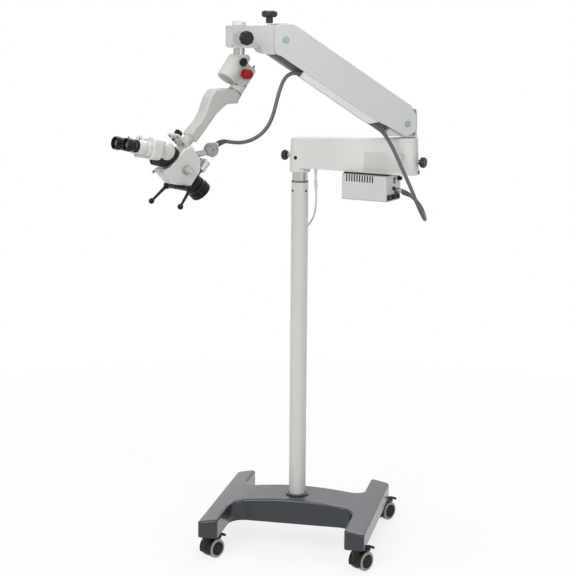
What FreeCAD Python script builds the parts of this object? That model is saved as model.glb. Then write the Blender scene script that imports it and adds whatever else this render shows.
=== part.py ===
import FreeCAD, Part
import math
import os
from FreeCAD import Placement, Rotation, Vector

X = Vector(1, 0, 0)
Y = Vector(0, 1, 0)
Z = Vector(0, 0, 1)

# Clearances, in millimetres
SEAT = 0.3
FIT = 0.05
NEAR = 0.1

# Stand: an H-shaped casting with a crowned top, on four casters
base_bottom = 88.0
base_height = 93.7
base_crown = 1417.0
base_half_width = 312.0
leg_width = 75.0
leg_front = -308.0
leg_rear = 307.0
bar_front = -86.0
bar_rear = 99.7
base_wall = 7.0
base_edge = 9.0
leg_corner = 14.0
notch_corner = 60.0
rib = 6.0
boss_wall = 10.0
floor_plate = 12.0
foot_ring_width = 13.0
foot_ring_height = 5.0

# Casters: twin wheels on a swivelling hood with a foot lever
caster_x = 281.5
caster_y = 279.5
caster_trail = 28.6
caster_turn = 58.0
wheel_r = 36.0
wheel_width = 21.0
wheel_gap = 13.0
axle_r = 5.0
hood_gap = 2.4
hood_wall = 3.6
stem_r = 8.0
stem_length = 40.0
swivel_disc_r = 20.0
swivel_disc = 6.0
lever_pivot_x = 58.0
lever_pivot_z = 70.0
lever_tip_x = 82.0
lever_half_width = 15.0
lever_pin_r = 3.0

# Column
column_r = 31.75
column_wall = 3.5
column_top = 1383.3
screw_z = 1352.0
screw_angles = (-32.1, -134.8, 96.6)
screw_r = 4.0
foot_bolt_r = 8.0
foot_plug = 18.0
washer_height = 6.3
collar_r = 28.75
collar_top = 1421.0
pivot_r = 20.0
pivot_length = 95.0
spigot_depth = 120.0
mains_hole_z = 1172.0
mains_r = 3.5

# Swing arm, turned about the column
swing_turn = -17.0
swing_length = 436.0
swing_bottom = 1438.0
swing_half_depth = 38.5
swing_top_left = 1547.0
swing_top_right = 1572.0
swing_draft = 0.0448
swing_wall = 3.0
swing_edge = 7.0
beam_plate = 8.0
beam_web = 12.0
beam_flange = 36.0
beam_top = 1524.0
hub_r = 30.0
lock_release = 6.5
turret_shaft_r = 18.0
lock_z = 1479.0
turret_lock_z = 1484.0
lock_stem_r = 5.0
small_stem_r = 4.0
lock_knob_r = 19.0
lock_knob_length = 27.0
lock_stand_off = 7.0
gland_x = 66.0
gland_length = 49.0
gland_r = 7.0

# Lamp box under the swing arm
box_left = 203.5
box_right = 380.0
box_half_depth = 58.0
box_bottom = 1341.0
box_top = 1433.0
box_wall = 2.0
box_corner = 5.0
vent_first = 222.5
vent_pitch = 10.3
vent_count = 11
vent_width = 5.0
vent_bottom = 1406.0
vent_height = 25.0
panel_thick = 3.0
switch_y = 7.0
switch_z = 1412.0
switch_half_width = 6.0
switch_half_height = 10.0
switch_pin_r = 1.5
dimmer_y = 40.0
dimmer_z = 1418.0
dimmer_r = 9.0
dimmer_length = 14.0
dimmer_shaft_r = 3.0
guide_y = 18.0
guide_z = 1376.0
guide_socket_r = 8.5
guide_r = 6.5
port_y = -2.0
port_z = 1385.0
port_r = 7.0
inlet_half_width = 50.0
inlet_bottom = 1345.0
inlet_height = 19.0
lamp_r = 21.0

# Spring arm, turned at the turret and lifted about its rear pin
spring_turn = 213.0
spring_reach = 632.0
pin_rear = (26.0, 1620.4)
pin_front = (481.3, 1912.0)
pin_r = 7.0
pin_cap_r = 11.0
arm_half_width = 42.0
arm_wall = 3.0
arm_above = 60.5
arm_below = 53.0
arm_rear_round = 45.0
arm_nose = 39.7
arm_nose_rise = 51.5
arm_nose_top = pin_front[1] + arm_nose_rise
channel_start = 98.0
channel_end = 424.0
channel_depth = 20.5
channel_wall = 2.0
channel_low_y = -1.0
channel_high_y = 38.7
link_offset = (54.0, -32.0)
link_height = 24.0
link_low_y = -22.0
link_high_y = -6.0
link_pin_r = 5.0
link_play = 1.6
spring_r = 18.0
spring_perp = 30.0
spring_start = 70.0
spring_end = 430.0
spring_cap = 16.0
spring_wire = 4.0
spring_coils = 14
disc_r = 31.0
disc_bottom = 1573.0
disc_height = 6.0
turret_plate_s = -14.0
turret_plate_top = 1671.0
turret_half_width = 36.0
turret_eye_r = 20.0

# Yoke that stays upright at the arm's front end
yoke_r = 48.5
yoke_half_width = 37.5
yoke_below_pin = 48.3
yoke_above_pin = 46.0
block_height = 73.2
block_reach = 34.0
top_knob_setback = 108.0
yoke_bottom = pin_front[1] - yoke_below_pin
yoke_top = pin_front[1] + yoke_above_pin
yoke_end = spring_reach + block_reach
block_bottom = yoke_top - block_height
top_knob_s = spring_reach - top_knob_setback
top_knob_r = 26.5
top_knob_top = 2007.0
side_knob_z = 1919.0
side_knob_r = 24.0
side_knob_reach = 45.0
swivel_r = 19.5
swivel_core_r = 15.0
swivel_bottom = 1862.5
cap_r = 23.5
cap_height = 14.0

# Head, turned below the yoke
head_turn = 231.0
coupling_z = 1849.6
coupling_tilt = 51.7
barrel_r = 34.0
barrel_start = -20.0
barrel_end = 85.0
roll_axis_z = -55.0
small_barrel_r = 25.0
small_barrel_end = 84.0
ring_r = 24.5
ring_end = 97.0
arm_hub_r = 26.0
arm_hub_start = 100.0
arm_hub_end = 128.0
roll_shaft_r = 10.0
red_knob_r = 16.5
knob_boss = 4.5
red_knob_length = 24.0
black_knob_r = 14.5
black_knob_length = 15.0
offset_half_width = 25.0

# Microscope, in a frame whose X runs up the optical axis away from the patient
scope_s = 240.0
scope_z = 1495.6
scope_tilt = 135.0
body_half_width = 34.0
body_edge = 6.0
limb_a = -44.0
spindle_r = 18.0
spindle_pin_r = 9.0
boss_top = -78.3
limb_end = -98.0
bracket_low = -66.0
bracket_high = -58.0
bracket_far = -101.5
bracket_half_width = 30.0
bracket_knob_a = -80.0
bracket_knob_y = -14.0
bracket_knob_r = 13.5
mag_knob_r = 13.0
mag_knob_length = 24.0
mag_shaft_r = 5.0
socket_a = 48.0
socket_b = -127.0
socket_drum_r = 24.0
socket_drum_half = 13.0
neck_r = 10.0
socket_axis = (0, 1, 0)
socket_mouth = (54.9, -157.3)
sleeve_r = 30.0
sleeve_end = 89.0
sleeve_bore = 25.0
collar_step = 3.0
collar_end = 73.0
skirt_start = 80.5
skirt_r = 34.0
ring_start = 97.0
focus_ring_r = 37.0
objective_end = 119.0
lens_r = 22.0
lens_thick = 6.0
lens_curve = 160.0
mouth_r = 23.5
mouth_depth = 6.0
focus_knob_a = 63.0
focus_knob_r = 15.0
focus_knob_length = 38.0
focus_boss_end = -49.5
mount_r = 35.0
body_top_a = -53.0
body_bottom_a = 54.0
mount_end = -74.0
handle_a = 37.0
handle_b = 48.0
handle_half_length = 75.0
handle_half = 7.0
rod_r = 4.5
rod_reach = 72.0
rod_splay = 18.0
rod_ball_r = 9.8

# Binocular tube, tilted about a cross axis
tube_s = 309.0
tube_z = 1559.6
tube_tilt = -11.2
hinge_r = 29.0
hinge_half_length = 35.0
hinge_pin_r = 6.0
carrier_face = 36.0
tongue_start = 12.0
tongue_end = 26.0
tongue_depth = 9.0
tongue_height = 12.0
slide_reach = 5.0
eye_half_spacing = 32.5
prism_r = 26.0
prism_start = 36.3
prism_end = 92.0
prism_height = 82.0
eyepiece_r = 19.0
eyecup_r = 21.0
eyepiece_end = 168.0

SWING = Placement(Vector(0, 0, 0), Rotation(Z, swing_turn))
SPRING = Placement(SWING.multVec(Vector(swing_length, 0, 0)), Rotation(Z, spring_turn))
HEAD = Placement(SPRING.multVec(Vector(spring_reach, 0, 0)), Rotation(Z, head_turn))
COUPLING = HEAD.multiply(Placement(Vector(0, 0, coupling_z), Rotation(Y, coupling_tilt)))
SCOPE = HEAD.multiply(Placement(Vector(scope_s, 0, scope_z), Rotation(Y, scope_tilt)))
TUBES = HEAD.multiply(Placement(Vector(tube_s, 0, tube_z), Rotation(Y, tube_tilt)))
WORLD = Placement()

base_top = base_bottom + base_height
column_bottom = base_bottom + floor_plate
spigot_r = column_r - column_wall - NEAR
arm_rise = math.degrees(math.atan2(pin_front[1] - pin_rear[1], pin_front[0] - pin_rear[0]))


def cylinder(r, start, end):
    """Round bar from one point to another."""
    start = Vector(*start)
    along = Vector(*end) - start
    return Part.makeCylinder(r, along.Length, start, along)


def block(low, high):
    """Rectangular solid between two corners."""
    size = Vector(*high) - Vector(*low)
    return Part.makeBox(size.x, size.y, size.z, Vector(*low))


def outline(corners, to_space):
    """Closed wire through flat corners (u, v, radius), each rounded by a tangent arc."""
    ends = []
    for i, (u, v, r) in enumerate(corners):
        corner = Vector(u, v, 0)
        back = Vector(corners[i - 1][0] - u, corners[i - 1][1] - v, 0)
        ahead = Vector(corners[(i + 1) % len(corners)][0] - u, corners[(i + 1) % len(corners)][1] - v, 0)
        back.normalize()
        ahead.normalize()
        if r == 0:
            ends.append((corner, None, corner))
            continue
        half = back.getAngle(ahead) / 2
        middle_line = back + ahead
        middle_line.normalize()
        middle = corner + middle_line * (r / math.sin(half) - r)
        ends.append((corner + back * (r / math.tan(half)), middle, corner + ahead * (r / math.tan(half))))
    edges = []
    for i, (start, middle, end) in enumerate(ends):
        if middle is not None:
            edges.append(Part.Arc(to_space(start), to_space(middle), to_space(end)).toShape())
        following = ends[(i + 1) % len(ends)][0]
        if (following - end).Length > 1e-4:
            edges.append(Part.LineSegment(to_space(end), to_space(following)).toShape())
    return Part.Wire(edges)


def slab(corners, axis, low, high):
    """Flat outline pushed from low to high along one axis; (u, v) are the other two in order."""
    places = {
        "x": (lambda p: Vector(low, p.x, p.y), X),
        "y": (lambda p: Vector(p.x, low, p.y), Y),
        "z": (lambda p: Vector(p.x, p.y, low), Z),
    }
    to_space, direction = places[axis]
    return Part.Face(outline(corners, to_space)).extrude(direction * (high - low))


def turned(profile, origin=(0, 0, 0), direction=(0, 0, 1)):
    """Lathe-turned solid: corners (radius, height, rounding) about an axis through origin."""
    face = Part.Face(outline(profile, lambda p: Vector(p.x, 0, p.y)))
    solid = face.revolve(Vector(0, 0, 0), Z, 360)
    solid.Placement = Placement(Vector(*origin), Rotation(Z, Vector(*direction)))
    return solid


def merged(shapes):
    """One solid from overlapping shapes."""
    return shapes[0].fuse(shapes[1:]).removeSplitter()


def rounded(solid, radius, chosen):
    """Fillet of the edges that a test picks."""
    return solid.makeFillet(radius, [edge for edge in solid.Edges if chosen(edge)])


def star_knob(r, length, neck_r, neck_length, lobes, origin, direction):
    """Lobed clamping knob: neck from the origin, then the cap with finger grooves."""
    top = neck_length + length
    cap = turned([
        (0, 0, 0), (neck_r, 0, 0), (neck_r, neck_length, 0), (r * 0.8, neck_length, 0),
        (r, neck_length + length * 0.25, r * 0.1), (r, top - length * 0.2, r * 0.15),
        (r * 0.8, top, 0), (0, top, 0)])
    for i in range(lobes):
        angle = 2 * math.pi * (i + 0.5) / lobes
        groove = r * 1.12
        cap = cap.cut(cylinder(r * 0.22, (groove * math.cos(angle), groove * math.sin(angle),
                                          neck_length - 1),
                               (groove * math.cos(angle), groove * math.sin(angle), top + 1)))
    cap.Placement = Placement(Vector(*origin), Rotation(Z, Vector(*direction)))
    return cap


def arm_point(along, perp):
    """Place in the spring arm's side view, measured along and across the line of its pins."""
    a = math.radians(arm_rise)
    return (pin_rear[0] + along * math.cos(a) - perp * math.sin(a),
            pin_rear[1] + along * math.sin(a) + perp * math.cos(a))


def arm_bar(r, start_along, end_along, perp, y):
    """Round bar that lies along the spring arm."""
    s0, z0 = arm_point(start_along, perp)
    s1, z1 = arm_point(end_along, perp)
    return cylinder(r, (s0, y, z0), (s1, y, z1))


def cord(points, r, name):
    """Tube along straight runs joined by tangent arcs, as large as the runs allow."""
    points = [Vector(*p) for p in points]
    edges = []
    radii = []
    last = points[0]
    for before, corner, after in zip(points, points[1:], points[2:]):
        back = before - corner
        ahead = after - corner
        shorter = min(back.Length, ahead.Length)
        back.normalize()
        ahead.normalize()
        half_turn = (math.pi - back.getAngle(ahead)) / 2
        cut = 0.45 * shorter
        radius = cut / math.tan(half_turn)
        radii.append(round(radius / (2 * r), 1))
        inward = back + ahead
        inward.normalize()
        middle = corner + inward * (radius / math.cos(half_turn) - radius)
        edges.append(Part.LineSegment(last, corner + back * cut).toShape())
        edges.append(Part.Arc(corner + back * cut, middle, corner + ahead * cut).toShape())
        last = corner + ahead * cut
    edges.append(Part.LineSegment(last, points[-1]).toShape())
    path = Part.Wire(edges)
    section = Part.Wire([Part.Circle(points[0], points[1] - points[0], r).toShape()])
    tube = path.makePipeShell([section], True, True)
    print(name, "length", round(path.Length, 1), "radii in diameters", radii,
          "volume ratio", round(tube.Volume / (math.pi * r * r * path.Length), 4))
    return tube


def h_plan(inset, outer_corner, inner_corner):
    """Corners of the H-shaped base, drawn in from its edge."""
    wide = base_half_width - inset
    narrow = base_half_width - leg_width + inset
    front = leg_front + inset
    rear = leg_rear - inset
    bar0 = bar_front + inset
    bar1 = bar_rear - inset
    return [(-wide, front, outer_corner), (-narrow, front, outer_corner), (-narrow, bar0, inner_corner),
            (narrow, bar0, inner_corner), (narrow, front, outer_corner), (wide, front, outer_corner),
            (wide, rear, outer_corner), (narrow, rear, outer_corner), (narrow, bar1, inner_corner),
            (-narrow, bar1, inner_corner), (-narrow, rear, outer_corner), (-wide, rear, outer_corner)]


def caster_places():
    """Name and swivel axis of each caster."""
    return [("fl", -caster_x, -caster_y), ("fr", caster_x, -caster_y),
            ("rl", -caster_x, caster_y), ("rr", caster_x, caster_y)]


def crown(drop):
    """Long cylinder whose top side is the crowned top of the base, lowered by drop."""
    return Part.makeCylinder(base_crown - drop, 1000, Vector(0, -500, base_top - base_crown), Y)


def base_casting():
    casting = slab(h_plan(0, leg_corner, notch_corner), "z", base_bottom, base_top + 1).common(crown(0))
    casting = rounded(casting, base_edge, lambda e: e.BoundBox.ZMin > base_bottom + base_wall)
    pocket = slab(h_plan(base_wall, leg_corner - base_wall, notch_corner + base_wall),
                  "z", base_bottom - 1, base_top).common(crown(base_wall + base_edge * 0.3))
    for side in (-1, 1):
        for x in (70, 150):
            pocket = pocket.cut(block((side * x - rib / 2, leg_front, base_bottom + rib),
                                      (side * x + rib / 2, leg_rear, base_top)))
        for y in (-195, -100, 0, 110, 200):
            pocket = pocket.cut(block((side * base_half_width * 0.87 - leg_width / 2, y - rib / 2,
                                       base_bottom + rib),
                                      (side * base_half_width * 0.87 + leg_width / 2, y + rib / 2,
                                       base_top)))
    pocket = pocket.cut(cylinder(column_r + boss_wall, (0, 0, base_bottom - 1), (0, 0, base_top)))
    for name, x, y in caster_places():
        pocket = pocket.cut(cylinder(stem_r + boss_wall, (x, y, base_bottom - 1), (x, y, base_top)))
    casting = casting.cut(pocket)
    ring = cylinder(column_r + foot_ring_width, (0, 0, base_top - base_edge),
                    (0, 0, base_top + foot_ring_height))
    ring = ring.makeChamfer(1.5, [e for e in ring.Edges if e.BoundBox.ZMin > base_top])
    casting = merged([casting, ring])
    casting = casting.cut(turned([(column_r, base_top + 1, 0), (column_r + 4, base_top + 1, 0),
                                  (column_r + 4, base_top + 9, 0), (column_r, base_top + 9, 0)]))
    casting = casting.cut(cylinder(column_r + NEAR, (0, 0, column_bottom), (0, 0, base_top + 20)))
    casting = casting.cut(cylinder(foot_bolt_r + NEAR, (0, 0, base_bottom - 1), (0, 0, column_bottom + 1)))
    for name, x, y in caster_places():
        casting = casting.cut(cylinder(stem_r + FIT, (x, y, base_bottom - 1),
                                       (x, y, base_bottom + stem_length + 1)))
    return casting


def column_tube():
    tube = cylinder(column_r, (0, 0, column_bottom), (0, 0, column_top))
    tube = tube.cut(cylinder(column_r - column_wall, (0, 0, column_bottom - 1), (0, 0, column_top + 1)))
    for angle in screw_angles:
        a = math.radians(angle)
        tube = tube.cut(cylinder(screw_r + NEAR, (0, 0, screw_z),
                                 (2 * column_r * math.cos(a), 2 * column_r * math.sin(a), screw_z)))
    inward = Vector(*mains_route[-1]) - Vector(*mains_route[-2])
    inside = Vector(*mains_route[-1]) + inward * 0.5
    return tube.cut(cylinder(mains_r + NEAR, tuple(inside), mains_route[-2]))


def column_fasteners():
    pieces = []
    for angle in screw_angles:
        a = math.radians(angle)
        pieces.append(cylinder(screw_r, ((spigot_r + NEAR) * math.cos(a), (spigot_r + NEAR) * math.sin(a),
                                         screw_z),
                               ((column_r - 0.6) * math.cos(a), (column_r - 0.6) * math.sin(a), screw_z)))
    head = [(foot_bolt_r * 1.6 * math.cos(math.radians(60 * i)),
             foot_bolt_r * 1.6 * math.sin(math.radians(60 * i)), 0)
            for i in range(6)]
    plug_bottom = column_bottom + 12
    pieces.append(merged([slab(head, "z", base_bottom - 9, base_bottom),
                          cylinder(foot_bolt_r, (0, 0, base_bottom - 1), (0, 0, plug_bottom + foot_plug)),
                          cylinder(column_r - column_wall - NEAR, (0, 0, plug_bottom),
                                   (0, 0, plug_bottom + foot_plug))]))
    return Part.makeCompound(pieces)


def column_spigot():
    return turned([
        (0, column_top - spigot_depth, 0), (spigot_r, column_top - spigot_depth, 2),
                   (spigot_r, column_top, 0),
        (column_r - 0.6, column_top, 0.5), (column_r - 0.6, column_top + washer_height, 0.5),
        (collar_r, column_top + washer_height, 0), (collar_r, collar_top, 1), (pivot_r, collar_top, 0),
        (pivot_r, collar_top + pivot_length, 1.5), (0, collar_top + pivot_length, 0)])


def caster_housing():
    wheel_in = wheel_gap / 2
    wheel_out = wheel_in + wheel_width
    hood_r = wheel_r + hood_gap
    centre = (caster_trail, 0, wheel_r)
    top = base_bottom - SEAT
    shell = cylinder(hood_r + hood_wall, (caster_trail, -wheel_out, wheel_r),
                     (caster_trail, wheel_out, wheel_r))
    shell = merged([shell, cylinder(swivel_disc_r - 3, (0, 0, wheel_r), (0, 0, top - swivel_disc))])
    for side in (-1, 1):
        shell = shell.cut(cylinder(hood_r, (caster_trail, side * (wheel_in - 1), wheel_r),
                                   (caster_trail, side * (wheel_out + 30), wheel_r)))
    shell = shell.cut(block((-90, -60, -20), (120, 60, wheel_r * 0.62)))
    shell = shell.cut(block((caster_trail + wheel_r * 0.42, -60, -20), (caster_trail + 90, 60, 120)))
    web = cylinder(wheel_r - 3, (caster_trail, -wheel_in + 1, wheel_r),
                   (caster_trail, wheel_in - 1, wheel_r))
    lobe = slab([(caster_trail, wheel_r + 6, 0), (lever_pivot_x + 2, lever_pivot_z - 9, 4),
                 (lever_pivot_x + 6, lever_pivot_z + 6, 5), (lever_pivot_x - 9, lever_pivot_z + 5, 5),
                 (caster_trail - 6, wheel_r + 22, 0)], "y", -wheel_in + 1, wheel_in - 1)
    disc = turned([(0, top - swivel_disc - 8, 0), (swivel_disc_r - 3, top - swivel_disc - 8, 0),
                   (swivel_disc_r, top - swivel_disc, 0), (swivel_disc_r, top, 1), (stem_r, top, 0),
                   (stem_r, base_bottom + stem_length, 1), (0, base_bottom + stem_length, 0)])
    disc = disc.cut(cylinder(hood_r, (caster_trail, wheel_in - 1, wheel_r), (caster_trail, 60, wheel_r)))
    disc = disc.cut(cylinder(hood_r, (caster_trail, -wheel_in + 1, wheel_r), (caster_trail, -60, wheel_r)))
    housing = merged([shell, web, lobe, disc])
    housing = housing.cut(cylinder(axle_r + FIT, (caster_trail, -60, centre[2]),
                                   (caster_trail, 60, centre[2])))
    return housing.cut(cylinder(lever_pin_r + FIT, (lever_pivot_x, -60, lever_pivot_z),
                                (lever_pivot_x, 60, lever_pivot_z)))


def caster_wheels():
    inner = wheel_gap / 2
    outer = inner + wheel_width
    half = [(wheel_r * 0.36, outer + 0.5, 0), (wheel_r * 0.36, outer - 1, 0), (wheel_r * 0.7, outer - 1, 0),
            (wheel_r * 0.72, outer, 0), (wheel_r, outer, 5), (wheel_r, inner, 3), (axle_r, inner, 0)]
    profile = [(0, -outer - 0.5, 0)] + [(r, -y, f) for r, y, f in half]
    profile = profile + [(r, y, f) for r, y, f in reversed(half)] + [(0, outer + 0.5, 0)]
    return turned(profile, (caster_trail, 0, wheel_r), (0, 1, 0))


def caster_lever():
    inner = wheel_gap / 2
    pad = slab([(lever_pivot_x - 12, lever_pivot_z + 8.5, 0), (lever_pivot_x + 2, lever_pivot_z + 8.5, 4),
                (lever_tip_x, lever_pivot_z + 1, 2), (lever_tip_x, lever_pivot_z - 3, 1.5),
                (lever_pivot_x + 9, lever_pivot_z + 2, 2), (lever_pivot_x + 7, lever_pivot_z + 6, 0),
                (lever_pivot_x - 12, lever_pivot_z + 6, 0)],
               "y", -lever_half_width, lever_half_width)
    ears = []
    for side in (-1, 1):
        low = min(side * inner, side * (inner + 4))
        ear = slab([(lever_pivot_x - 6, lever_pivot_z - 6, 5), (lever_pivot_x + 6, lever_pivot_z - 6, 5),
                    (lever_pivot_x + 6, lever_pivot_z + 7.5, 0),
                    (lever_pivot_x - 6, lever_pivot_z + 7.5, 0)],
                   "y", low, low + 4)
        ears.append(ear)
    pin = cylinder(lever_pin_r, (lever_pivot_x, -inner - 4, lever_pivot_z),
                   (lever_pivot_x, inner + 4, lever_pivot_z))
    return merged([pad, pin] + ears)


def stadium(r, z):
    """Wire round the swing arm's two pivots."""
    far = swing_length
    edges = [Part.LineSegment(Vector(0, -r, z), Vector(far, -r, z)).toShape(),
             Part.Arc(Vector(far, -r, z), Vector(far + r, 0, z), Vector(far, r, z)).toShape(),
             Part.LineSegment(Vector(far, r, z), Vector(0, r, z)).toShape(),
             Part.Arc(Vector(0, r, z), Vector(-r, 0, z), Vector(0, -r, z)).toShape()]
    return Part.Wire(edges)


def swing_form(inset):
    """Drafted, sloping body of the swing arm, drawn in by a wall."""
    high = swing_top_right + 30
    bottom = swing_bottom - (1 if inset else 0)
    r0 = swing_half_depth - inset
    r1 = r0 - swing_draft * (high - swing_bottom)
    form = Part.makeLoft([stadium(r0, bottom), stadium(r1, high)], True, True)
    reach = swing_half_depth + 2
    return form.common(slab([(-reach, bottom - 1, 0), (swing_length + reach, bottom - 1, 0),
                             (swing_length + reach, swing_top_right - inset, 0),
                             (-reach, swing_top_left - inset, 0)], "y", -60, 60))


def swing_arm_cover():
    cover = rounded(swing_form(0), swing_edge, lambda e: e.BoundBox.ZMin > swing_top_left - 5)
    cover = cover.cut(swing_form(swing_wall))
    cover = cover.cut(cylinder(lock_stem_r + 2, (0, 0, lock_z), (-60, 0, lock_z)))
    cover = cover.cut(cylinder(lock_stem_r + 2, (swing_length, 0, turret_lock_z),
                               (swing_length + 60, 0, turret_lock_z)))
    return cover.cut(cylinder(turret_shaft_r + 2, (swing_length, 0, 1500), (swing_length, 0, 1600)))


def swing_arm_beam():
    plate = Part.Face(stadium(swing_half_depth - swing_wall - NEAR - 0.4,
                              swing_bottom)).extrude(Z * beam_plate)
    web = block((0, -beam_web / 2, swing_bottom), (swing_length, beam_web / 2, beam_top))
    flange = block((0, -beam_flange / 2, beam_top - 8), (swing_length, beam_flange / 2, beam_top))
    left = cylinder(hub_r - 1, (0, 0, swing_bottom), (0, 0, beam_top))
    right = cylinder(hub_r - 1, (swing_length, 0, swing_bottom), (swing_length, 0, beam_top + 26))
    foot = turned([(0, collar_top + SEAT, 0), (swing_half_depth, collar_top + SEAT, 1.5),
                   (swing_half_depth, swing_bottom, 0), (0, swing_bottom, 0)])
    beam = merged([plate, web, flange, left, right, foot])
    beam = beam.cut(cylinder(pivot_r + FIT, (0, 0, collar_top), (0, 0, beam_top + 1)))
    beam = beam.cut(cylinder(turret_shaft_r + FIT, (swing_length, 0, swing_bottom + 12),
                             (swing_length, 0, beam_top + 40)))
    beam = beam.cut(cylinder(lock_stem_r + FIT, (0, 0, lock_z), (-60, 0, lock_z)))
    return beam.cut(cylinder(lock_stem_r + FIT, (swing_length, 0, turret_lock_z),
                             (swing_length + 60, 0, turret_lock_z)))


def swing_lock_knob():
    knob = star_knob(lock_knob_r, lock_knob_length - 9, 8.5, 9, 8,
                     (-swing_half_depth - lock_stand_off, 0, lock_z),
                     (-1, 0, 0))
    stem = cylinder(lock_stem_r, (-pivot_r - lock_release, 0, lock_z),
                    (-swing_half_depth - lock_stand_off - 2, 0, lock_z))
    return merged([knob, stem])


def turret_lock_knob():
    start = swing_length + swing_half_depth + 1
    knob = star_knob(lock_knob_r, lock_knob_length - 9, 8.5, 9, 8, (start, 0, turret_lock_z), (1, 0, 0))
    stem = cylinder(lock_stem_r, (swing_length + turret_shaft_r + SEAT, 0, turret_lock_z),
                    (start + 2, 0, turret_lock_z))
    return merged([knob, stem])


def light_box_case():
    d = box_half_depth
    section = [(-d, box_bottom, box_corner), (d, box_bottom, box_corner), (d, box_top, box_corner),
               (-d, box_top, box_corner)]
    w = box_wall
    inside = [(-d + w, box_bottom + w, box_corner - w), (d - w, box_bottom + w, box_corner - w),
              (d - w, box_top - w, box_corner - w), (-d + w, box_top - w, box_corner - w)]
    case = slab(section, "x", box_left, box_right).cut(slab(inside, "x", box_left + w, box_right + 1))
    slots = []
    for i in range(vent_count):
        x = vent_first + vent_pitch * i
        for side in (-1, 1):
            y = side * (d - w / 2)
            slots.append(slab([(x - vent_width / 2, vent_bottom, 2), (x + vent_width / 2, vent_bottom, 2),
                               (x + vent_width / 2, vent_bottom + vent_height, 2),
                               (x - vent_width / 2, vent_bottom + vent_height, 2)], "y", y - w, y + w))
    case = case.cut(Part.makeCompound(slots))
    spacers = []
    for x in (box_left + 20, box_right - 20):
        for y in (-20, 20):
            spacers.append(cylinder(5, (x, y, box_top - w), (x, y, swing_bottom)))
    return merged([case] + spacers)


def light_box_panel():
    w = box_wall + SEAT
    d = box_half_depth - w
    x0 = box_right - panel_thick
    panel = slab([(-d, box_bottom + w, box_corner - box_wall), (d, box_bottom + w, box_corner - box_wall),
                  (d, box_top - w, box_corner - box_wall), (-d, box_top - w, box_corner - box_wall)],
                 "x", x0, box_right)
    half_w = switch_half_width + 0.6
    half_h = switch_half_height + 1.2
    cup = block((x0 - 14, switch_y - half_w - 2, switch_z - half_h - 2),
                (x0 + 1, switch_y + half_w + 2, switch_z + half_h + 2))
    panel = merged([panel, cup])
    panel = panel.cut(block((x0 - 12, switch_y - half_w, switch_z - half_h),
                            (box_right + 1, switch_y + half_w, switch_z + half_h)))
    panel = panel.cut(cylinder(switch_pin_r + FIT, (x0 - 4, switch_y - half_w - 3, switch_z),
                               (x0 - 4, switch_y + half_w + 3, switch_z)))
    for y, z, r in ((dimmer_y, dimmer_z, dimmer_shaft_r + FIT),
                    (guide_y, guide_z, guide_socket_r - 1 + NEAR),
                    (port_y, port_z, port_r - 1 + NEAR)):
        panel = panel.cut(cylinder(r, (x0 - 30, y, z), (box_right + 1, y, z)))
    return panel.cut(block((x0 - 1, -inlet_half_width + 3, inlet_bottom + 2),
                           (box_right + 1, inlet_half_width - 3, inlet_bottom + inlet_height - 2)))


def power_switch():
    x0 = box_right - panel_thick
    h = switch_half_height
    rocker = slab([(x0 - 9, switch_z - h + 4, 1), (x0 - 9, switch_z + h - 4, 1),
                   (box_right - 1, switch_z + h, 0.5),
                   (box_right + 3.5, switch_z + h - 0.5, 0.8), (box_right + 1.2, switch_z, 0),
                   (box_right + 2.2, switch_z - h + 0.5, 0.8), (box_right - 1, switch_z - h, 0.5)],
                  "y", switch_y - switch_half_width, switch_y + switch_half_width)
    reach = switch_half_width + 2.4
    pin = cylinder(switch_pin_r, (x0 - 4, switch_y - reach, switch_z), (x0 - 4, switch_y + reach, switch_z))
    return merged([rocker, pin])


def dimmer_knob():
    x = box_right + SEAT
    knob = turned([(0, 0, 0), (dimmer_r, 0, 0.5), (dimmer_r, 3, 0), (dimmer_r * 0.82, 4, 0),
                   (dimmer_r * 0.76, dimmer_length, 1), (0, dimmer_length, 0)], (x, dimmer_y, dimmer_z),
                  (1, 0, 0))
    for i in range(12):
        a = math.radians(30 * i)
        r = dimmer_r * 0.88
        knob = knob.cut(cylinder(0.9, (x + 4.5, dimmer_y + r * math.cos(a), dimmer_z + r * math.sin(a)),
                                 (x + dimmer_length + 1, dimmer_y + r * math.cos(a),
                                  dimmer_z + r * math.sin(a))))
    shaft = cylinder(dimmer_shaft_r, (box_right - panel_thick - 8, dimmer_y, dimmer_z),
                     (x + 2, dimmer_y, dimmer_z))
    return merged([knob, shaft])


def light_guide_socket():
    r = guide_socket_r
    bore = guide_r + NEAR
    return turned([(bore - 2, -panel_thick - 4, 0), (r - 1, -panel_thick - 4, 0), (r - 1, 0, 0),
                   (r + 2, 0, 0),
                   (r + 2, 3, 0.8), (r, 3, 0), (r, 12, 1.5), (bore - 2, 12, 0)],
                  (box_right, guide_y, guide_z), (1, 0, 0))


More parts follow.
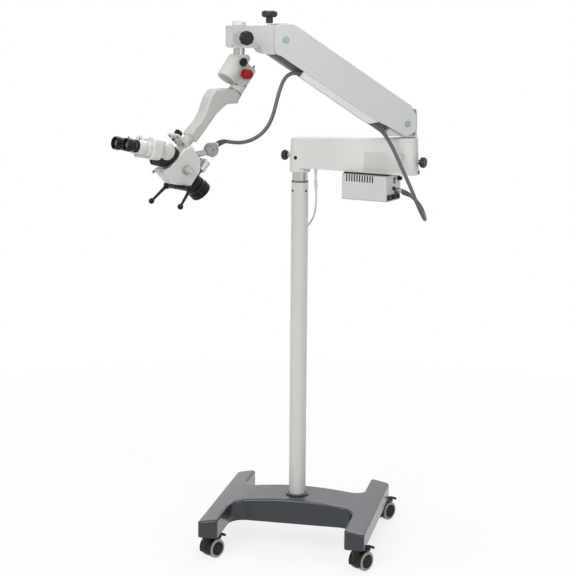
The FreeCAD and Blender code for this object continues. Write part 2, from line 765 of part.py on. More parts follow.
def cable_fittings():
    x0 = box_right - panel_thick
    inlet = merged([
        slab([(-inlet_half_width, inlet_bottom, 2), (inlet_half_width, inlet_bottom, 2),
              (inlet_half_width, inlet_bottom + inlet_height, 2),
              (-inlet_half_width, inlet_bottom + inlet_height, 2)], "x", box_right, box_right + 3),
        block((x0 - 24, -inlet_half_width + 4, inlet_bottom + 3),
              (box_right + 1, inlet_half_width - 4, inlet_bottom + inlet_height - 3))])
    port = turned([(2.5, -panel_thick - 5, 0), (port_r - 1, -panel_thick - 5, 0), (port_r - 1, 0, 0),
                   (port_r, 0, 0),
                   (port_r, 5, 1), (2.5, 5, 0)], (box_right, port_y, port_z), (1, 0, 0))
    relief = turned([(mains_r - 1, 0, 0), (gland_r, 0, 0), (gland_r, -6, 1), (gland_r - 1.5, -7, 0),
                     (mains_r + 1.5, -gland_length, 0), (mains_r - 1, -gland_length, 0)],
                    (gland_x, 0, swing_bottom))
    relief = relief.cut(cylinder(mains_r + NEAR, (gland_x, 0, swing_bottom - gland_length - 1),
                                 (gland_x, 0, swing_bottom - gland_length + 1)))
    return Part.makeCompound([inlet, port, relief])


def lamp_module():
    floor = box_bottom + box_wall
    x1 = box_right - panel_thick - 6
    cradle = slab([(guide_y - 26, floor, 0), (guide_y + 26, floor, 0), (guide_y + 14, guide_z, 0),
                   (guide_y - 14, guide_z, 0)], "x", x1 - 40, x1 - 30)
    bulb = turned([(0, 0, 0), (lamp_r, 0, 0), (lamp_r, 16, 6), (lamp_r * 0.4, 34, 2), (lamp_r * 0.4, 52, 0),
                   (0, 52, 0)], (x1 - 24, guide_y, guide_z), (-1, 0, 0))
    return merged([cradle, bulb])


def turret_bracket():
    s0, z0 = pin_rear
    s1, z1 = s0 + link_offset[0], z0 + link_offset[1]
    top = disc_bottom + disc_height
    shaft = cylinder(turret_shaft_r, (0, 0, swing_bottom + 14), (0, 0, top))
    disc = turned([(0, disc_bottom, 0), (disc_r, disc_bottom, 1), (disc_r, top, 1), (0, top, 0)])
    plate = slab([(-turret_half_width, top - 2, 0), (turret_half_width, top - 2, 0),
                  (turret_half_width, turret_plate_top, 6), (-turret_half_width, turret_plate_top, 6)],
                 "x", turret_plate_s, turret_plate_s + 6)
    web = slab([(turret_plate_s, top - 3, 0), (turret_plate_s, turret_plate_top - 12, 0),
                (s0 - 4, z0 + turret_eye_r + 8, 20),
                (s0 + 26, z0 + 14, 14), (s1 + 12, z1 + 8, 8), (s1 + 13, z1 - 11, 6), (disc_r, top - 3, 0)],
               "y", link_high_y + SEAT, turret_eye_r)
    seat = slab([(turret_plate_s, -turret_half_width, 0), (disc_r - 8, -disc_r + 4, 8),
                 (disc_r - 2, disc_r - 4, 8),
                 (turret_plate_s, turret_half_width, 0)], "z", top - 3, top)
    pin = cylinder(link_pin_r, (s1, link_low_y - 3, z1), (s1, link_high_y + 4, z1))
    bracket = merged([shaft, disc, plate, web, seat, pin])
    return bracket.cut(cylinder(pin_r + FIT, (s0, -60, z0), (s0, 60, z0)))


def arm_side(inset):
    """Side outline of the spring arm, drawn in by a wall at its upper edge."""
    nose = pin_front[0] + arm_nose
    top = arm_above - inset
    rear_a = arm_point(20, top)
    bend = arm_point(541, top)
    low_a = arm_point(534, -arm_below)
    under = arm_point(112, -arm_below)
    belly = arm_point(62, -arm_rear_round - 1)
    heel = (pin_rear[0] - arm_rear_round * 0.1, pin_rear[1] - arm_rear_round)
    back = (pin_rear[0] - arm_rear_round * 0.78, pin_rear[1] - arm_rear_round * 0.62)
    shoulder = (pin_rear[0] - arm_rear_round * 0.78, pin_rear[1] + 28)
    return [(rear_a[0], rear_a[1], 10), (bend[0], arm_nose_top - inset, 40),
            (nose, arm_nose_top - inset, 25),
            (nose, low_a[1] + 2, 26), (low_a[0] - 8, low_a[1] - 6, 20), (under[0], under[1], 120),
            (belly[0], belly[1], 60), (heel[0] + 6, heel[1], 20), (back[0], back[1], 18),
            (shoulder[0], shoulder[1], 14)]


def spring_arm_cover():
    w = arm_half_width
    cover = slab(arm_side(0), "y", -w, w)
    cover = rounded(cover, 2.5, lambda e: abs(abs(e.BoundBox.YMin) - w) < 0.01 and e.BoundBox.YLength < 0.01)
    inner = slab([(s, z, 0) for s, z in (
        arm_point(-200, -150), arm_point(-200, arm_above - arm_wall), arm_point(700, arm_above - arm_wall),
        arm_point(700, -150))], "y", -w + arm_wall, w - arm_wall)
    top_cut = slab([(pin_front[0] - 20, 2100, 0), (700, 2100, 0), (700, 1700, 0),
                    (pin_front[0] - 20, 1700, 0)],
                   "y", -w + arm_wall, w - arm_wall)
    under_nose = slab([(400, 1700, 0), (700, 1700, 0), (700, arm_nose_top - arm_wall, 0),
                       (400, arm_nose_top - arm_wall, 0)], "y", -w + arm_wall, w - arm_wall)
    cover = cover.cut(inner.common(merged([under_nose, slab([(-200, 1400, 0), (401, 1400, 0), (401, 2200, 0),
                                                              (-200, 2200, 0)], "y", -w, w)])))
    cover = cover.cut(top_cut)
    saddles = []
    for along in (spring_start + spring_cap / 2, spring_end - spring_cap / 2):
        s0, z0 = arm_point(along - 4, arm_above - arm_wall / 2)
        s1, z1 = arm_point(along + 4, arm_above - arm_wall / 2)
        s2, z2 = arm_point(along + 4, spring_perp)
        s3, z3 = arm_point(along - 4, spring_perp)
        saddles.append(slab([(s0, z0, 0), (s1, z1, 0), (s2, z2, 0), (s3, z3, 0)], "y", -w + 1, w - 1))
    cover = merged([cover] + saddles)
    cover = cover.cut(arm_bar(spring_r + NEAR, spring_start, spring_end, spring_perp, 0))
    for s, z in (pin_rear, pin_front):
        cover = cover.cut(cylinder(pin_r + NEAR, (s, -60, z), (s, 60, z)))
    return cover


def cable_channel():
    low = -arm_below - channel_depth
    high = -arm_below - SEAT
    corners = [arm_point(channel_start, high), arm_point(channel_start + 25, low),
               arm_point(channel_end, low),
               arm_point(channel_end, high)]
    body = slab([(s, z, r) for (s, z), r in zip(corners, (0, 4, 2, 0))], "y", channel_low_y, channel_high_y)
    w = channel_wall
    inside = [arm_point(channel_start - 30, high - w), arm_point(channel_start - 6, low + w),
              arm_point(channel_end + 10, low + w), arm_point(channel_end + 10, high - w)]
    body = body.cut(slab([(s, z, 0) for s, z in inside], "y", channel_low_y + w, channel_high_y - w))
    lip = slab([(s, z, 0) for s, z in (arm_point(channel_start + 4, high), arm_point(channel_end - 4, high),
                                       arm_point(channel_end - 4, high + 9),
                                       arm_point(channel_start + 4, high + 9))],
               "y", channel_high_y - w - 1, channel_high_y)
    return merged([body, lip])


def balance_spring():
    s0, z0 = arm_point(spring_start, spring_perp)
    a = math.radians(arm_rise)
    length = spring_end - spring_start
    pitch = (length - 2 * spring_cap) / spring_coils
    profile = [(0, 0, 0), (spring_r, 0, 0), (spring_r, spring_cap, 0)]
    for i in range(spring_coils):
        h = spring_cap + pitch * i
        profile.append((spring_r - spring_wire, h + pitch * 0.1, 0))
        profile.append((spring_r, h + pitch * 0.4, 0))
        profile.append((spring_r, h + pitch * 0.65, 0))
    profile.append((spring_r - spring_wire, length - spring_cap - pitch * 0.08, 0))
    profile.append((spring_r, length - spring_cap, 0))
    profile.append((spring_r, length, 0))
    profile.append((0, length, 0))
    return turned(profile, (s0, 0, z0), (math.cos(a), 0, math.sin(a)))


def pivot_pins():
    pins = []
    for s, z in (pin_rear, pin_front):
        end = arm_half_width
        pins.append(turned([(0, -end - 2.5, 0), (pin_cap_r, -end - 2.5, 1), (pin_cap_r, -end, 0),
                            (pin_r, -end, 0),
                            (pin_r, end, 0), (pin_cap_r, end, 0), (pin_cap_r, end + 2.5, 1),
                            (0, end + 2.5, 0)],
                           (s, 0, z), (0, 1, 0)))
    return Part.makeCompound(pins)


def link_ends():
    """Pivots of the lower link in the spring arm's side view."""
    return [(s + link_offset[0], z + link_offset[1]) for s, z in (pin_rear, pin_front)]


def lower_link():
    (s0, z0), (s1, z1) = link_ends()
    half = link_height / 2
    a = math.radians(arm_rise)
    along = Vector(math.cos(a), 0, math.sin(a))
    across = Vector(-math.sin(a), 0, math.cos(a))
    start = Vector(s0, 0, z0)
    end = Vector(s1, 0, z1)
    corners = [start - across * half - along * half, end - across * half + along * half,
               end + across * half + along * half, start + across * half - along * half]
    bar = slab([(c.x, c.z, half * 0.98) for c in corners], "y", link_low_y, link_high_y)
    middle = [start - across * half * 0.5 + along * 40, end - across * half * 0.5 - along * 40,
              end + across * half * 0.5 - along * 40, start + across * half * 0.5 + along * 40]
    for low, high in ((link_low_y - 1, link_low_y + 5), (link_high_y - 5, link_high_y + 1)):
        bar = bar.cut(slab([(c.x, c.z, 5) for c in middle], "y", low, high))
    bar = bar.cut(cylinder(link_pin_r + FIT, (s0, -60, z0), (s0, 60, z0)))
    return bar.cut(cylinder(link_pin_r + link_play, (s1, -60, z1), (s1, 60, z1)))


def front_yoke():
    s0, z0 = pin_front
    (_, _), (s1, z1) = link_ends()
    w = yoke_half_width
    drum = cylinder(yoke_r, (s0, -w, z0), (s0, w, z0))
    drum = drum.common(block((s0 - 90, -w, yoke_bottom), (s0 + 90, w, yoke_top)))
    nose = slab([(s0, yoke_bottom, 0), (s1 + 20, yoke_bottom, 30), (s1 + 40, block_bottom + 10, 12),
                 (yoke_end, block_bottom + 10, 0), (yoke_end, yoke_top, 3), (s0, yoke_top, 0)], "y", -w, w)
    end = slab([(spring_reach - 57, -w - 0.5, 4), (yoke_end, -w - 0.5, 12), (yoke_end, w + 0.5, 12),
                (spring_reach - 57, w + 0.5, 4)], "z", block_bottom, yoke_top)
    yoke = merged([drum, nose, end])
    slot_top = z0 - 11
    yoke = yoke.cut(block((s0 - 60, link_low_y - SEAT, yoke_bottom - 5),
                          (s1 + 16, link_high_y + SEAT, slot_top)))
    pin = cylinder(link_pin_r, (s1, link_low_y - 2, z1), (s1, link_high_y + 2, z1))
    boss = cylinder(side_knob_r * 0.6, (spring_reach, w - 1, side_knob_z),
                    (spring_reach, w + 5, side_knob_z))
    yoke = merged([yoke, pin, boss])
    yoke = yoke.cut(cylinder(pin_r + FIT, (s0, -60, z0), (s0, 60, z0)))
    yoke = yoke.cut(cylinder(swivel_core_r + FIT, (spring_reach, 0, block_bottom - 9),
                             (spring_reach, 0, yoke_top + 9)))
    yoke = yoke.cut(cylinder(lock_stem_r + FIT, (spring_reach, 0, side_knob_z),
                             (spring_reach, 70, side_knob_z)))
    return yoke.cut(cylinder(lock_stem_r + FIT, (top_knob_s, 0, z0 + pin_r + 2),
                              (top_knob_s, 0, yoke_top + 9)))


def yoke_lock_knob():
    knob = star_knob(top_knob_r, 22, 12, top_knob_top - 22 - yoke_top - 8, 6, (top_knob_s, 0, yoke_top + 8),
                     (0, 0, 1))
    stem = cylinder(lock_stem_r, (top_knob_s, 0, pin_front[1] + pin_r + 4), (top_knob_s, 0, yoke_top + 9))
    collar = cylinder(7, (top_knob_s, 0, yoke_top + SEAT), (top_knob_s, 0, yoke_top + 9))
    return merged([knob, stem, collar])


def shaft_lock_knob():
    start = yoke_half_width + 5 + SEAT
    knob = star_knob(side_knob_r, 22, 11, side_knob_reach - 22, 8, (spring_reach, start, side_knob_z),
                     (0, 1, 0))
    stem = cylinder(lock_stem_r, (spring_reach, swivel_core_r + SEAT, side_knob_z),
                    (spring_reach, start + 2, side_knob_z))
    return merged([knob, stem])


def swivel_shaft():
    top = yoke_top + SEAT
    return turned([(0, swivel_bottom, 0), (swivel_r, swivel_bottom, 0), (swivel_r, block_bottom - SEAT, 0.8),
                   (swivel_core_r, block_bottom - SEAT, 0), (swivel_core_r, top, 0), (cap_r, top, 1),
                   (cap_r, top + cap_height, 4), (0, top + cap_height, 0)])


def coupling_point(x, z):
    """Point of the coupling's frame in the head's side view."""
    a = math.radians(coupling_tilt)
    return (x * math.cos(a) + z * math.sin(a), coupling_z - x * math.sin(a) + z * math.cos(a))


def coupling_body():
    barrel = turned([(0, barrel_start, 0), (barrel_r, barrel_start, 5), (barrel_r, barrel_end, 2),
                     (0, barrel_end, 0)],
                    (0, 0, 0), (1, 0, 0))
    small = turned([(0, -3, 0), (small_barrel_r, -3, 4), (small_barrel_r, small_barrel_end, 0),
                    (ring_r, small_barrel_end, 0), (ring_r, ring_end, 1), (0, ring_end, 0)],
                   (0, 0, roll_axis_z), (1, 0, 0))
    web = slab([(barrel_start + 30, roll_axis_z, 0), (small_barrel_end - 6, roll_axis_z, 0),
                (barrel_end - 5, 0, 0),
                (barrel_start + 8, 0, 0)], "y", -small_barrel_r, small_barrel_r)
    neck = cylinder(swivel_r + 7, (0, 0, swivel_bottom - 40), (0, 0, swivel_bottom - 0.5))
    from_head = Placement(Vector(0, 0, coupling_z), Rotation(Y, coupling_tilt)).inverse()
    neck.Placement = from_head.multiply(neck.Placement)
    flange_cut = block((-90, -90, swivel_bottom), (90, 90, swivel_bottom + 90))
    flange_cut.Placement = from_head
    body = merged([barrel, small, web, neck]).cut(flange_cut)
    for x, z in (red_knob_place(), black_knob_place()):
        boss = cylinder(8, (x, small_barrel_r - 3, z), (x, small_barrel_r + knob_boss, z))
        body = merged([body, boss]).cut(cylinder(small_stem_r + FIT, (x, 8, z), (x, 60, z)))
    return body.cut(cylinder(roll_shaft_r + FIT, (12, 0, roll_axis_z), (ring_end + 1, 0, roll_axis_z)))


def red_knob_place():
    """Clamp screw of the roll axis, in the coupling's frame."""
    return (37.6, -34.2)


def black_knob_place():
    """Friction screw of the swivel, in the coupling's frame."""
    return (16.6, 4.4)


def coupling_knob():
    x, z = red_knob_place()
    start = small_barrel_r + knob_boss + SEAT
    r = red_knob_r
    knob = turned([(0, 0, 0), (r, 0, 1), (r, red_knob_length * 0.45, 1),
                   (r * 0.82, red_knob_length * 0.5, 0),
                   (r, red_knob_length * 0.55, 1), (r, red_knob_length, 2), (0, red_knob_length, 0)])
    for i in range(20):
        a = math.radians(18 * i)
        knob = knob.cut(cylinder(1.2, (r * 1.03 * math.cos(a), r * 1.03 * math.sin(a), -1),
                                 (r * 1.03 * math.cos(a), r * 1.03 * math.sin(a), red_knob_length + 1)))
    knob.Placement = Placement(Vector(x, start, z), Rotation(Z, Y))
    stem = cylinder(small_stem_r, (x, 10, z), (x, start + 1, z))
    return merged([knob, stem])


def tension_knob():
    x, z = black_knob_place()
    start = barrel_r + SEAT
    stem = cylinder(small_stem_r, (x, 10, z), (x, start + 1, z))
    return merged([star_knob(black_knob_r, black_knob_length - 5, 6, 5, 6, (x, start, z), (0, 1, 0)), stem])


def offset_arm():
    hub = turned([(0, arm_hub_start, 0), (arm_hub_r, arm_hub_start, 1), (arm_hub_r, arm_hub_end, 5),
                  (0, arm_hub_end, 0)], (0, 0, roll_axis_z), (1, 0, 0))
    shaft = cylinder(roll_shaft_r, (14, 0, roll_axis_z), (arm_hub_start + 1, 0, roll_axis_z))
    to_head = Placement(Vector(0, 0, coupling_z), Rotation(Y, coupling_tilt))
    for piece in (hub, shaft):
        piece.Placement = to_head.multiply(piece.Placement)
    hub_s, hub_z = coupling_point((arm_hub_start + arm_hub_end) / 2, roll_axis_z)
    w = offset_half_width
    low_s, low_z = scope_point(limb_a + spindle_r + 1, limb_end)
    high_s, high_z = scope_point(limb_a - spindle_r - 1, limb_end)
    limb = slab([(hub_s - 12, hub_z - 24, 6), (64, 1701.6, 30), (107, 1671.4, 40), (147.1, 1626, 30),
                 (low_s, low_z, 0), (high_s, high_z, 0), (197.9, 1628.5, 10), (174.9, 1648.1, 30),
                 (153.7, 1679, 40), (134, 1728, 20), (112, 1751.6, 18), (hub_s - 4, 1751.6, 8)],
                "y", -w, w)
    limb = rounded(limb, 7, lambda e: e.BoundBox.YLength < 0.01 and abs(abs(e.BoundBox.YMin) - w) < 0.01)
    limb = limb.cut(ring_room())
    foot = scope_point(limb_a, boss_top - SEAT)
    back = scope_point(limb_a, boss_top - 34)
    pin_end = scope_point(limb_a, bracket_high - 1)
    spindle = cylinder(spindle_r, (back[0], 0, back[1]), (foot[0], 0, foot[1]))
    pin = cylinder(spindle_pin_r, (back[0], 0, back[1]), (pin_end[0], 0, pin_end[1]))
    return merged([hub, shaft, limb, spindle, pin])


def ring_room():
    """Space swept by the coupling in front of the offset arm's hub."""
    room = cylinder(120, (arm_hub_start - 60, 0, roll_axis_z), (arm_hub_start, 0, roll_axis_z))
    room.Placement = Placement(Vector(0, 0, coupling_z), Rotation(Y, coupling_tilt))
    return room


def scope_point(a, b):
    """Point of the microscope's frame in the head's side view."""
    t = math.radians(scope_tilt)
    return (scope_s + a * math.cos(t) + b * math.sin(t), scope_z - a * math.sin(t) + b * math.cos(t))


def head_bracket():
    plate = slab([(bracket_far, bracket_low, 2), (bracket_far, bracket_high, 0), (-45.8, bracket_high, 0),
                  (-43.2, bracket_low, 0)], "y", -bracket_half_width, bracket_half_width)
    boss = cylinder(spindle_r + 1, (limb_a, 0, boss_top), (limb_a, 0, bracket_high))
    bracket = merged([plate, boss])
    bracket = bracket.cut(cylinder(spindle_pin_r + FIT, (limb_a, 0, boss_top - 1),
                                   (limb_a, 0, bracket_high + 1)))
    a, y = bracket_knob_a, bracket_knob_y
    return bracket.cut(cylinder(small_stem_r + FIT, (a, y, bracket_low - 1), (a, y, bracket_high + 1)))


def bracket_knob():
    a, y = bracket_knob_a, bracket_knob_y
    knob = star_knob(bracket_knob_r, 15, 7, 10, 6, (a, y, bracket_low - SEAT), (0, 0, -1))
    stem = cylinder(small_stem_r, (a, y, bracket_low - 2), (a, y, bracket_high + 6))
    return merged([knob, stem])


def microscope_body():
    w = body_half_width
    body = slab([(-53, -36, 5), (-40, -74, 12), (20, -64, 9), (48, -36, 9), (54, 24, 9), (3, 62, 12),
                 (-64, 61, 8),
                 (-52, 36, 6)], "y", -w, w)
    body = rounded(body, body_edge,
                   lambda e: e.BoundBox.YLength < 0.01 and abs(abs(e.BoundBox.YMin) - w) < 0.01)
    body = body.cut(cylinder(spindle_r + 1 + SEAT, (limb_a, 0, -120), (limb_a, 0, bracket_high + SEAT)))
    body = body.cut(block((-120, -bracket_half_width - SEAT, bracket_low - SEAT),
                          (-42.5, bracket_half_width + SEAT, bracket_high + SEAT)))
    body = body.cut(cylinder(sleeve_bore - 4, (30, 0, 0), (60, 0, 0)))
    body = body.cut(cylinder(sleeve_bore - 4, (-30, 0, 0), (-60, 0, 0)))
    return body.cut(cylinder(mag_shaft_r + FIT, (0, -60, 0), (0, 60, 0)))


def magnification_knob():
    w = body_half_width + SEAT
    r = mag_knob_r
    length = mag_knob_length
    knobs = []
    for side in (-1, 1):
        knob = turned([(0, 0, 0), (r + 2.5, 0, 0), (r + 2.5, 3, 0.8), (r, 4, 0), (r * 0.92, length, 2),
                       (0, length, 0)])
        for i in range(16):
            a = math.radians(22.5 * i)
            knob = knob.cut(cylinder(1.1, (r * math.cos(a), r * math.sin(a), 5),
                                     (r * math.cos(a), r * math.sin(a), length + 1)))
        knob.Placement = Placement(Vector(0, side * w, 0), Rotation(Z, Y * side))
        knobs.append(knob)
    return merged(knobs + [cylinder(mag_shaft_r, (0, -w - 1, 0), (0, w + 1, 0))])


def head_light_socket():
    a, b = socket_a, socket_b
    drum = turned([(0, -socket_drum_half, 0), (socket_drum_r - 2, -socket_drum_half, 1),
                   (socket_drum_r - 2, socket_drum_half - 8, 0), (socket_drum_r, socket_drum_half - 8, 0.5),
                   (socket_drum_r, socket_drum_half, 1), (0, socket_drum_half, 0)], (a, 0, b), socket_axis)
    rise = math.atan2(10, 60)
    normal = Vector(math.sin(rise), 0, -math.cos(rise))
    base = Vector(-16 + 24 * math.cos(rise), 0, -70 + 24 * math.sin(rise))
    flange = cylinder(neck_r + 2, tuple(base), tuple(base + normal * 6))
    neck = cylinder(neck_r, tuple(base + normal * 6), (a, 0, b + 8))
    root = Vector(a - 1, 0, b - 12)
    mouth = Vector(socket_mouth[0], 0, socket_mouth[1])
    short = (root - mouth).normalize() * 2 * SEAT
    nose = cylinder(guide_r + 2, tuple(root), tuple(mouth + short))
    return merged([drum, neck, flange, nose])


def focus_housing():
    start = body_bottom_a + SEAT
    tube = turned([(sleeve_bore + FIT, start, 0), (sleeve_r + collar_step, start, 0),
                   (sleeve_r + collar_step, collar_end, 0.8), (sleeve_r, collar_end, 0),
                   (sleeve_r, sleeve_end, 0.5), (sleeve_bore + FIT, sleeve_end, 0)], (0, 0, 0), (1, 0, 0))
    boss = cylinder(8, (focus_knob_a, 0, -sleeve_r), (focus_knob_a, 0, focus_boss_end))
    housing = merged([tube, boss])
    return housing.cut(cylinder(small_stem_r + FIT, (focus_knob_a, 0, -sleeve_r + 0.5),
                                (focus_knob_a, 0, focus_boss_end - 1)))


def objective_unit():
    unit = turned([
        (lens_r - 2, 60, 0), (sleeve_bore, 60, 0.5), (sleeve_bore, ring_start, 0),
                   (sleeve_r + FIT + 0.01, ring_start, 0),
        (sleeve_r + FIT + 0.01, skirt_start, 0), (skirt_r, skirt_start, 0.6), (skirt_r, ring_start, 0),
        (focus_ring_r, ring_start, 1), (focus_ring_r, objective_end - 2, 1.5),
                   (focus_ring_r - 4, objective_end, 1),
        (mouth_r, objective_end, 0), (mouth_r, objective_end - mouth_depth, 0),
                   (lens_r, objective_end - mouth_depth, 0),
        (lens_r, objective_end - mouth_depth - lens_thick, 0),
        (lens_r - 2, objective_end - mouth_depth - lens_thick, 0)], (0, 0, 0), (1, 0, 0))
    for i in range(24):
        a = math.radians(15 * i)
        unit = unit.cut(cylinder(1.3, (ring_start + 4, focus_ring_r * math.cos(a),
                                       focus_ring_r * math.sin(a)),
                                 (objective_end - 4, focus_ring_r * math.cos(a),
                                  focus_ring_r * math.sin(a))))
    return unit


def objective_lens():
    front = objective_end - mouth_depth - NEAR
    back = front - lens_thick + 2 * NEAR
    blank = cylinder(lens_r - NEAR, (back, 0, 0), (front, 0, 0))
    return blank.common(Part.makeSphere(lens_curve, Vector(front - lens_curve, 0, 0)))


def focus_knob():
    start = focus_boss_end - SEAT
    r = focus_knob_r
    knob = turned([(0, 0, 0), (r, 0, 1), (r, focus_knob_length, 1.5), (0, focus_knob_length, 0)])
    for i in range(24):
        a = math.radians(15 * i)
        knob = knob.cut(cylinder(0.8, (r * math.cos(a), r * math.sin(a), 8),
                                 (r * math.cos(a), r * math.sin(a), focus_knob_length - 3)))
    knob.Placement = Placement(Vector(focus_knob_a, 0, start), Rotation(Z, Z * -1))
    return merged([knob, cylinder(small_stem_r, (focus_knob_a, 0, -sleeve_r), (focus_knob_a, 0, start - 1))])


def hinge_place():
    """Binocular hinge axis in the microscope's frame."""
    spot = SCOPE.inverse().multVec(HEAD.multVec(Vector(tube_s, 0, tube_z)))
    return spot.x, spot.z


def tube_mount():
    a, b = hinge_place()
    flange = cylinder(mount_r, (body_top_a - SEAT, 0, 0), (mount_end, 0, 0))
    flange = flange.makeChamfer(1.5, [e for e in flange.Edges if e.BoundBox.XMax < mount_end + 1])
    cradle = slab([(-66, -22, 0), (-66, 48, 5), (-84, 57, 6), (-97, 50, 4), (-97, 30, 0), (a, b, 0),
                   (-80, -22, 0)],
                  "y", -26, 26)
    mount = merged([flange, cradle]).cut(cylinder(hinge_r + SEAT, (a, -60, b), (a, 60, b)))
    cheeks = []
    for side in (-1, 1):
        low = min(side * 25, side * 20)
        cheeks.append(slab([(-61, -15, 0), (-61, 21, 0), (a + 1, b + 12, 0), (a - 12, b + 6, 4),
                            (a - 12, b - 6, 4),
                            (a + 1, b - 12, 0)], "y", low, low + 5))
    pin = cylinder(hinge_pin_r, (a, -24.5, b), (a, 24.5, b))
    mount = merged([mount] + cheeks + [pin])
    return mount.cut(cylinder(lens_r - 2, (body_top_a, 0, 0), (-64, 0, 0)))


def binocular_joint():
    half = hinge_half_length
    barrel = turned([(0, -half, 0), (hinge_r, -half, 8), (hinge_r, half, 8), (0, half, 0)], (0, 0, 0),
                    (0, 1, 0))
    carrier = slab([(8, -18, 0), (carrier_face, -18, 2), (carrier_face, 36, 2), (8, 24, 0)], "y", -half + 4,
                   half - 4)
    joint = merged([barrel, carrier])
    for side in (-1, 1):
        low = min(side * (25 + SEAT), side * (20 - SEAT))
        joint = joint.cut(slot_for_ear(low, low + 5 + 2 * SEAT))
    joint = joint.cut(cylinder(hinge_pin_r + FIT, (0, -25, 0), (0, 25, 0)))
    for side in (-1, 1):
        near = side * (tongue_start - slide_reach - 1)
        far = side * (tongue_end + slide_reach + 1)
        joint = joint.cut(block((carrier_face - tongue_depth - 1, min(near, far), -tongue_height / 2),
                                (carrier_face + 1, max(near, far), tongue_height / 2)))
    return joint


def slot_for_ear(low, high):
    """Groove round the hinge barrel for one cheek of the mount."""
    groove = cylinder(90, (0, low, 0), (0, high, 0))
    keep = block((13.6, low - 1, -60), (120, high + 1, 60))
    return groove.cut(keep)


def prism_housing(side):
    y = side * eye_half_spacing
    low = -prism_height * 0.5
    high = prism_height * 0.5
    inner = y - side * (prism_r - 1)
    outer = y + side * prism_r
    left = min(inner, outer)
    right = max(inner, outer)
    drum = slab([(left, low + 4, 16), (right, low + 10, 18), (right, high - 6, 20), (left, high - 2, 16)],
                "x", prism_start, prism_end - 18)
    front = slab([(left + 2, low + 16, 14), (right - 2, low + 16, 16), (right - 2, high - 20, 16),
                  (left + 2, high - 20, 14)], "x", prism_end - 19, prism_end)
    drum = rounded(drum, 5, lambda e: e.BoundBox.XLength < 0.01)
    front = rounded(front, 4, lambda e: e.BoundBox.XLength < 0.01 and e.BoundBox.XMin > prism_end - 1)
    near, far = sorted((side * tongue_start, side * tongue_end))
    tongue = block((carrier_face - tongue_depth, near, -tongue_height / 2 + SEAT),
                   (prism_start + 8, far, tongue_height / 2 - SEAT))
    socket = cylinder(eyepiece_r - 3 + FIT, (prism_end - 14, y, 0), (prism_end + 1, y, 0))
    return merged([drum, front, tongue]).cut(socket)


def eyepiece(side):
    y = side * eye_half_spacing
    r = eyepiece_r
    end = eyepiece_end
    return turned([(0, prism_end - 13, 0), (r - 3, prism_end - 13, 0.5), (r - 3, prism_end, 0),
                   (r, prism_end, 1),
                   (r, prism_end + 14, 0), (r + 1, prism_end + 15, 0), (r + 1, prism_end + 42, 0),
                   (r - 1, prism_end + 43, 0),
                   (r - 1, prism_end + 47, 0), (eyecup_r, end - 22, 0), (eyecup_r, end - 2, 1.5),
                   (eyecup_r - 4, end, 1),
                   (eyecup_r - 7, end - 8, 0), (0, end - 8, 0)], (0, y, 0), (1, 0, 0))


def handle_bar():
    h = handle_half
    a, b = handle_a, handle_b
    bar = slab([(a - h, b - h, 4), (a + h, b - h, 4), (a + h, b + h, 4), (a - h, b + h, 4)],
               "y", -handle_half_length, handle_half_length)
    pad = cylinder(8, (a - 11.5, 0, b - 15.4), (a - 2, 0, b - 2.5))
    pad = pad.common(slab([(3, 62, 0), (54, 24, 0), (80, 60, 0), (30, 90, 0)], "y", -20, 20).cut(
        slab([(3, 62.35, 0), (54, 24.35, 0), (40, 10, 0), (-10, 40, 0)], "y", -20, 20)))
    rods = []
    for side in (-1, 1):
        start = Vector(a, side * (handle_half_length - 9), b)
        end = start + Vector(0, side * rod_splay, rod_reach)
        rods.append(cylinder(rod_r, tuple(start), tuple(end)))
        rods.append(Part.makeSphere(rod_ball_r, end))
        rods.append(cylinder(8.5, (a - 9.5, start.y, b), (a + 9.5, start.y, b)))
    return merged([bar, pad] + rods)


mains_route = [
    (63.1, -19.3, swing_bottom - gland_length), (64.5, -17, 1356), (63, -6, 1320), (57.5, 12, 1287),
    (49, 32, 1257), (35, 50, 1231), (16, 60, 1208), (2, 52, 1187), (0, column_r, mains_hole_z)]

lower_route = [
    (382, -98, 1376), (410, -106.5, 1370), (441, -115, 1351), (465, -121, 1325), (479, -138, 1298),
    (487, -167, 1285), (488, -198, 1291), (480, -221, 1314), (464, -231, 1352), (443, -230, 1401),
    (415, -219, 1455), (386, -207, 1512), (358, -200, 1562), (331, -206, 1600), (299.3, -225.4, 1627.5)]

upper_route = [
    (76.8, -369.9, 1797.5), (53, -393, 1803), (30, -412, 1784.5), (18, -426, 1748), (9, -437, 1708),
    (1, -446, 1667), (-13, -455, 1628), (-38, -463, 1597), (-70, -472, 1577), (-104, -484, 1569),
    (-132, -501, 1572), (-153.6, -521.7, 1578.4), (-169.7, -541.6, 1568)]


def write(name, shape, frame=WORLD):
    """One STEP file in the stand's frame."""
    placed = shape.copy()
    placed.Placement = frame.multiply(shape.Placement)
    if not placed.isValid():
        print("invalid", name)
    if any(solid.Volume < 0 for solid in placed.Solids) or not placed.Solids:
        print("no volume", name)
    placed.exportStep("parts/" + name + ".step")


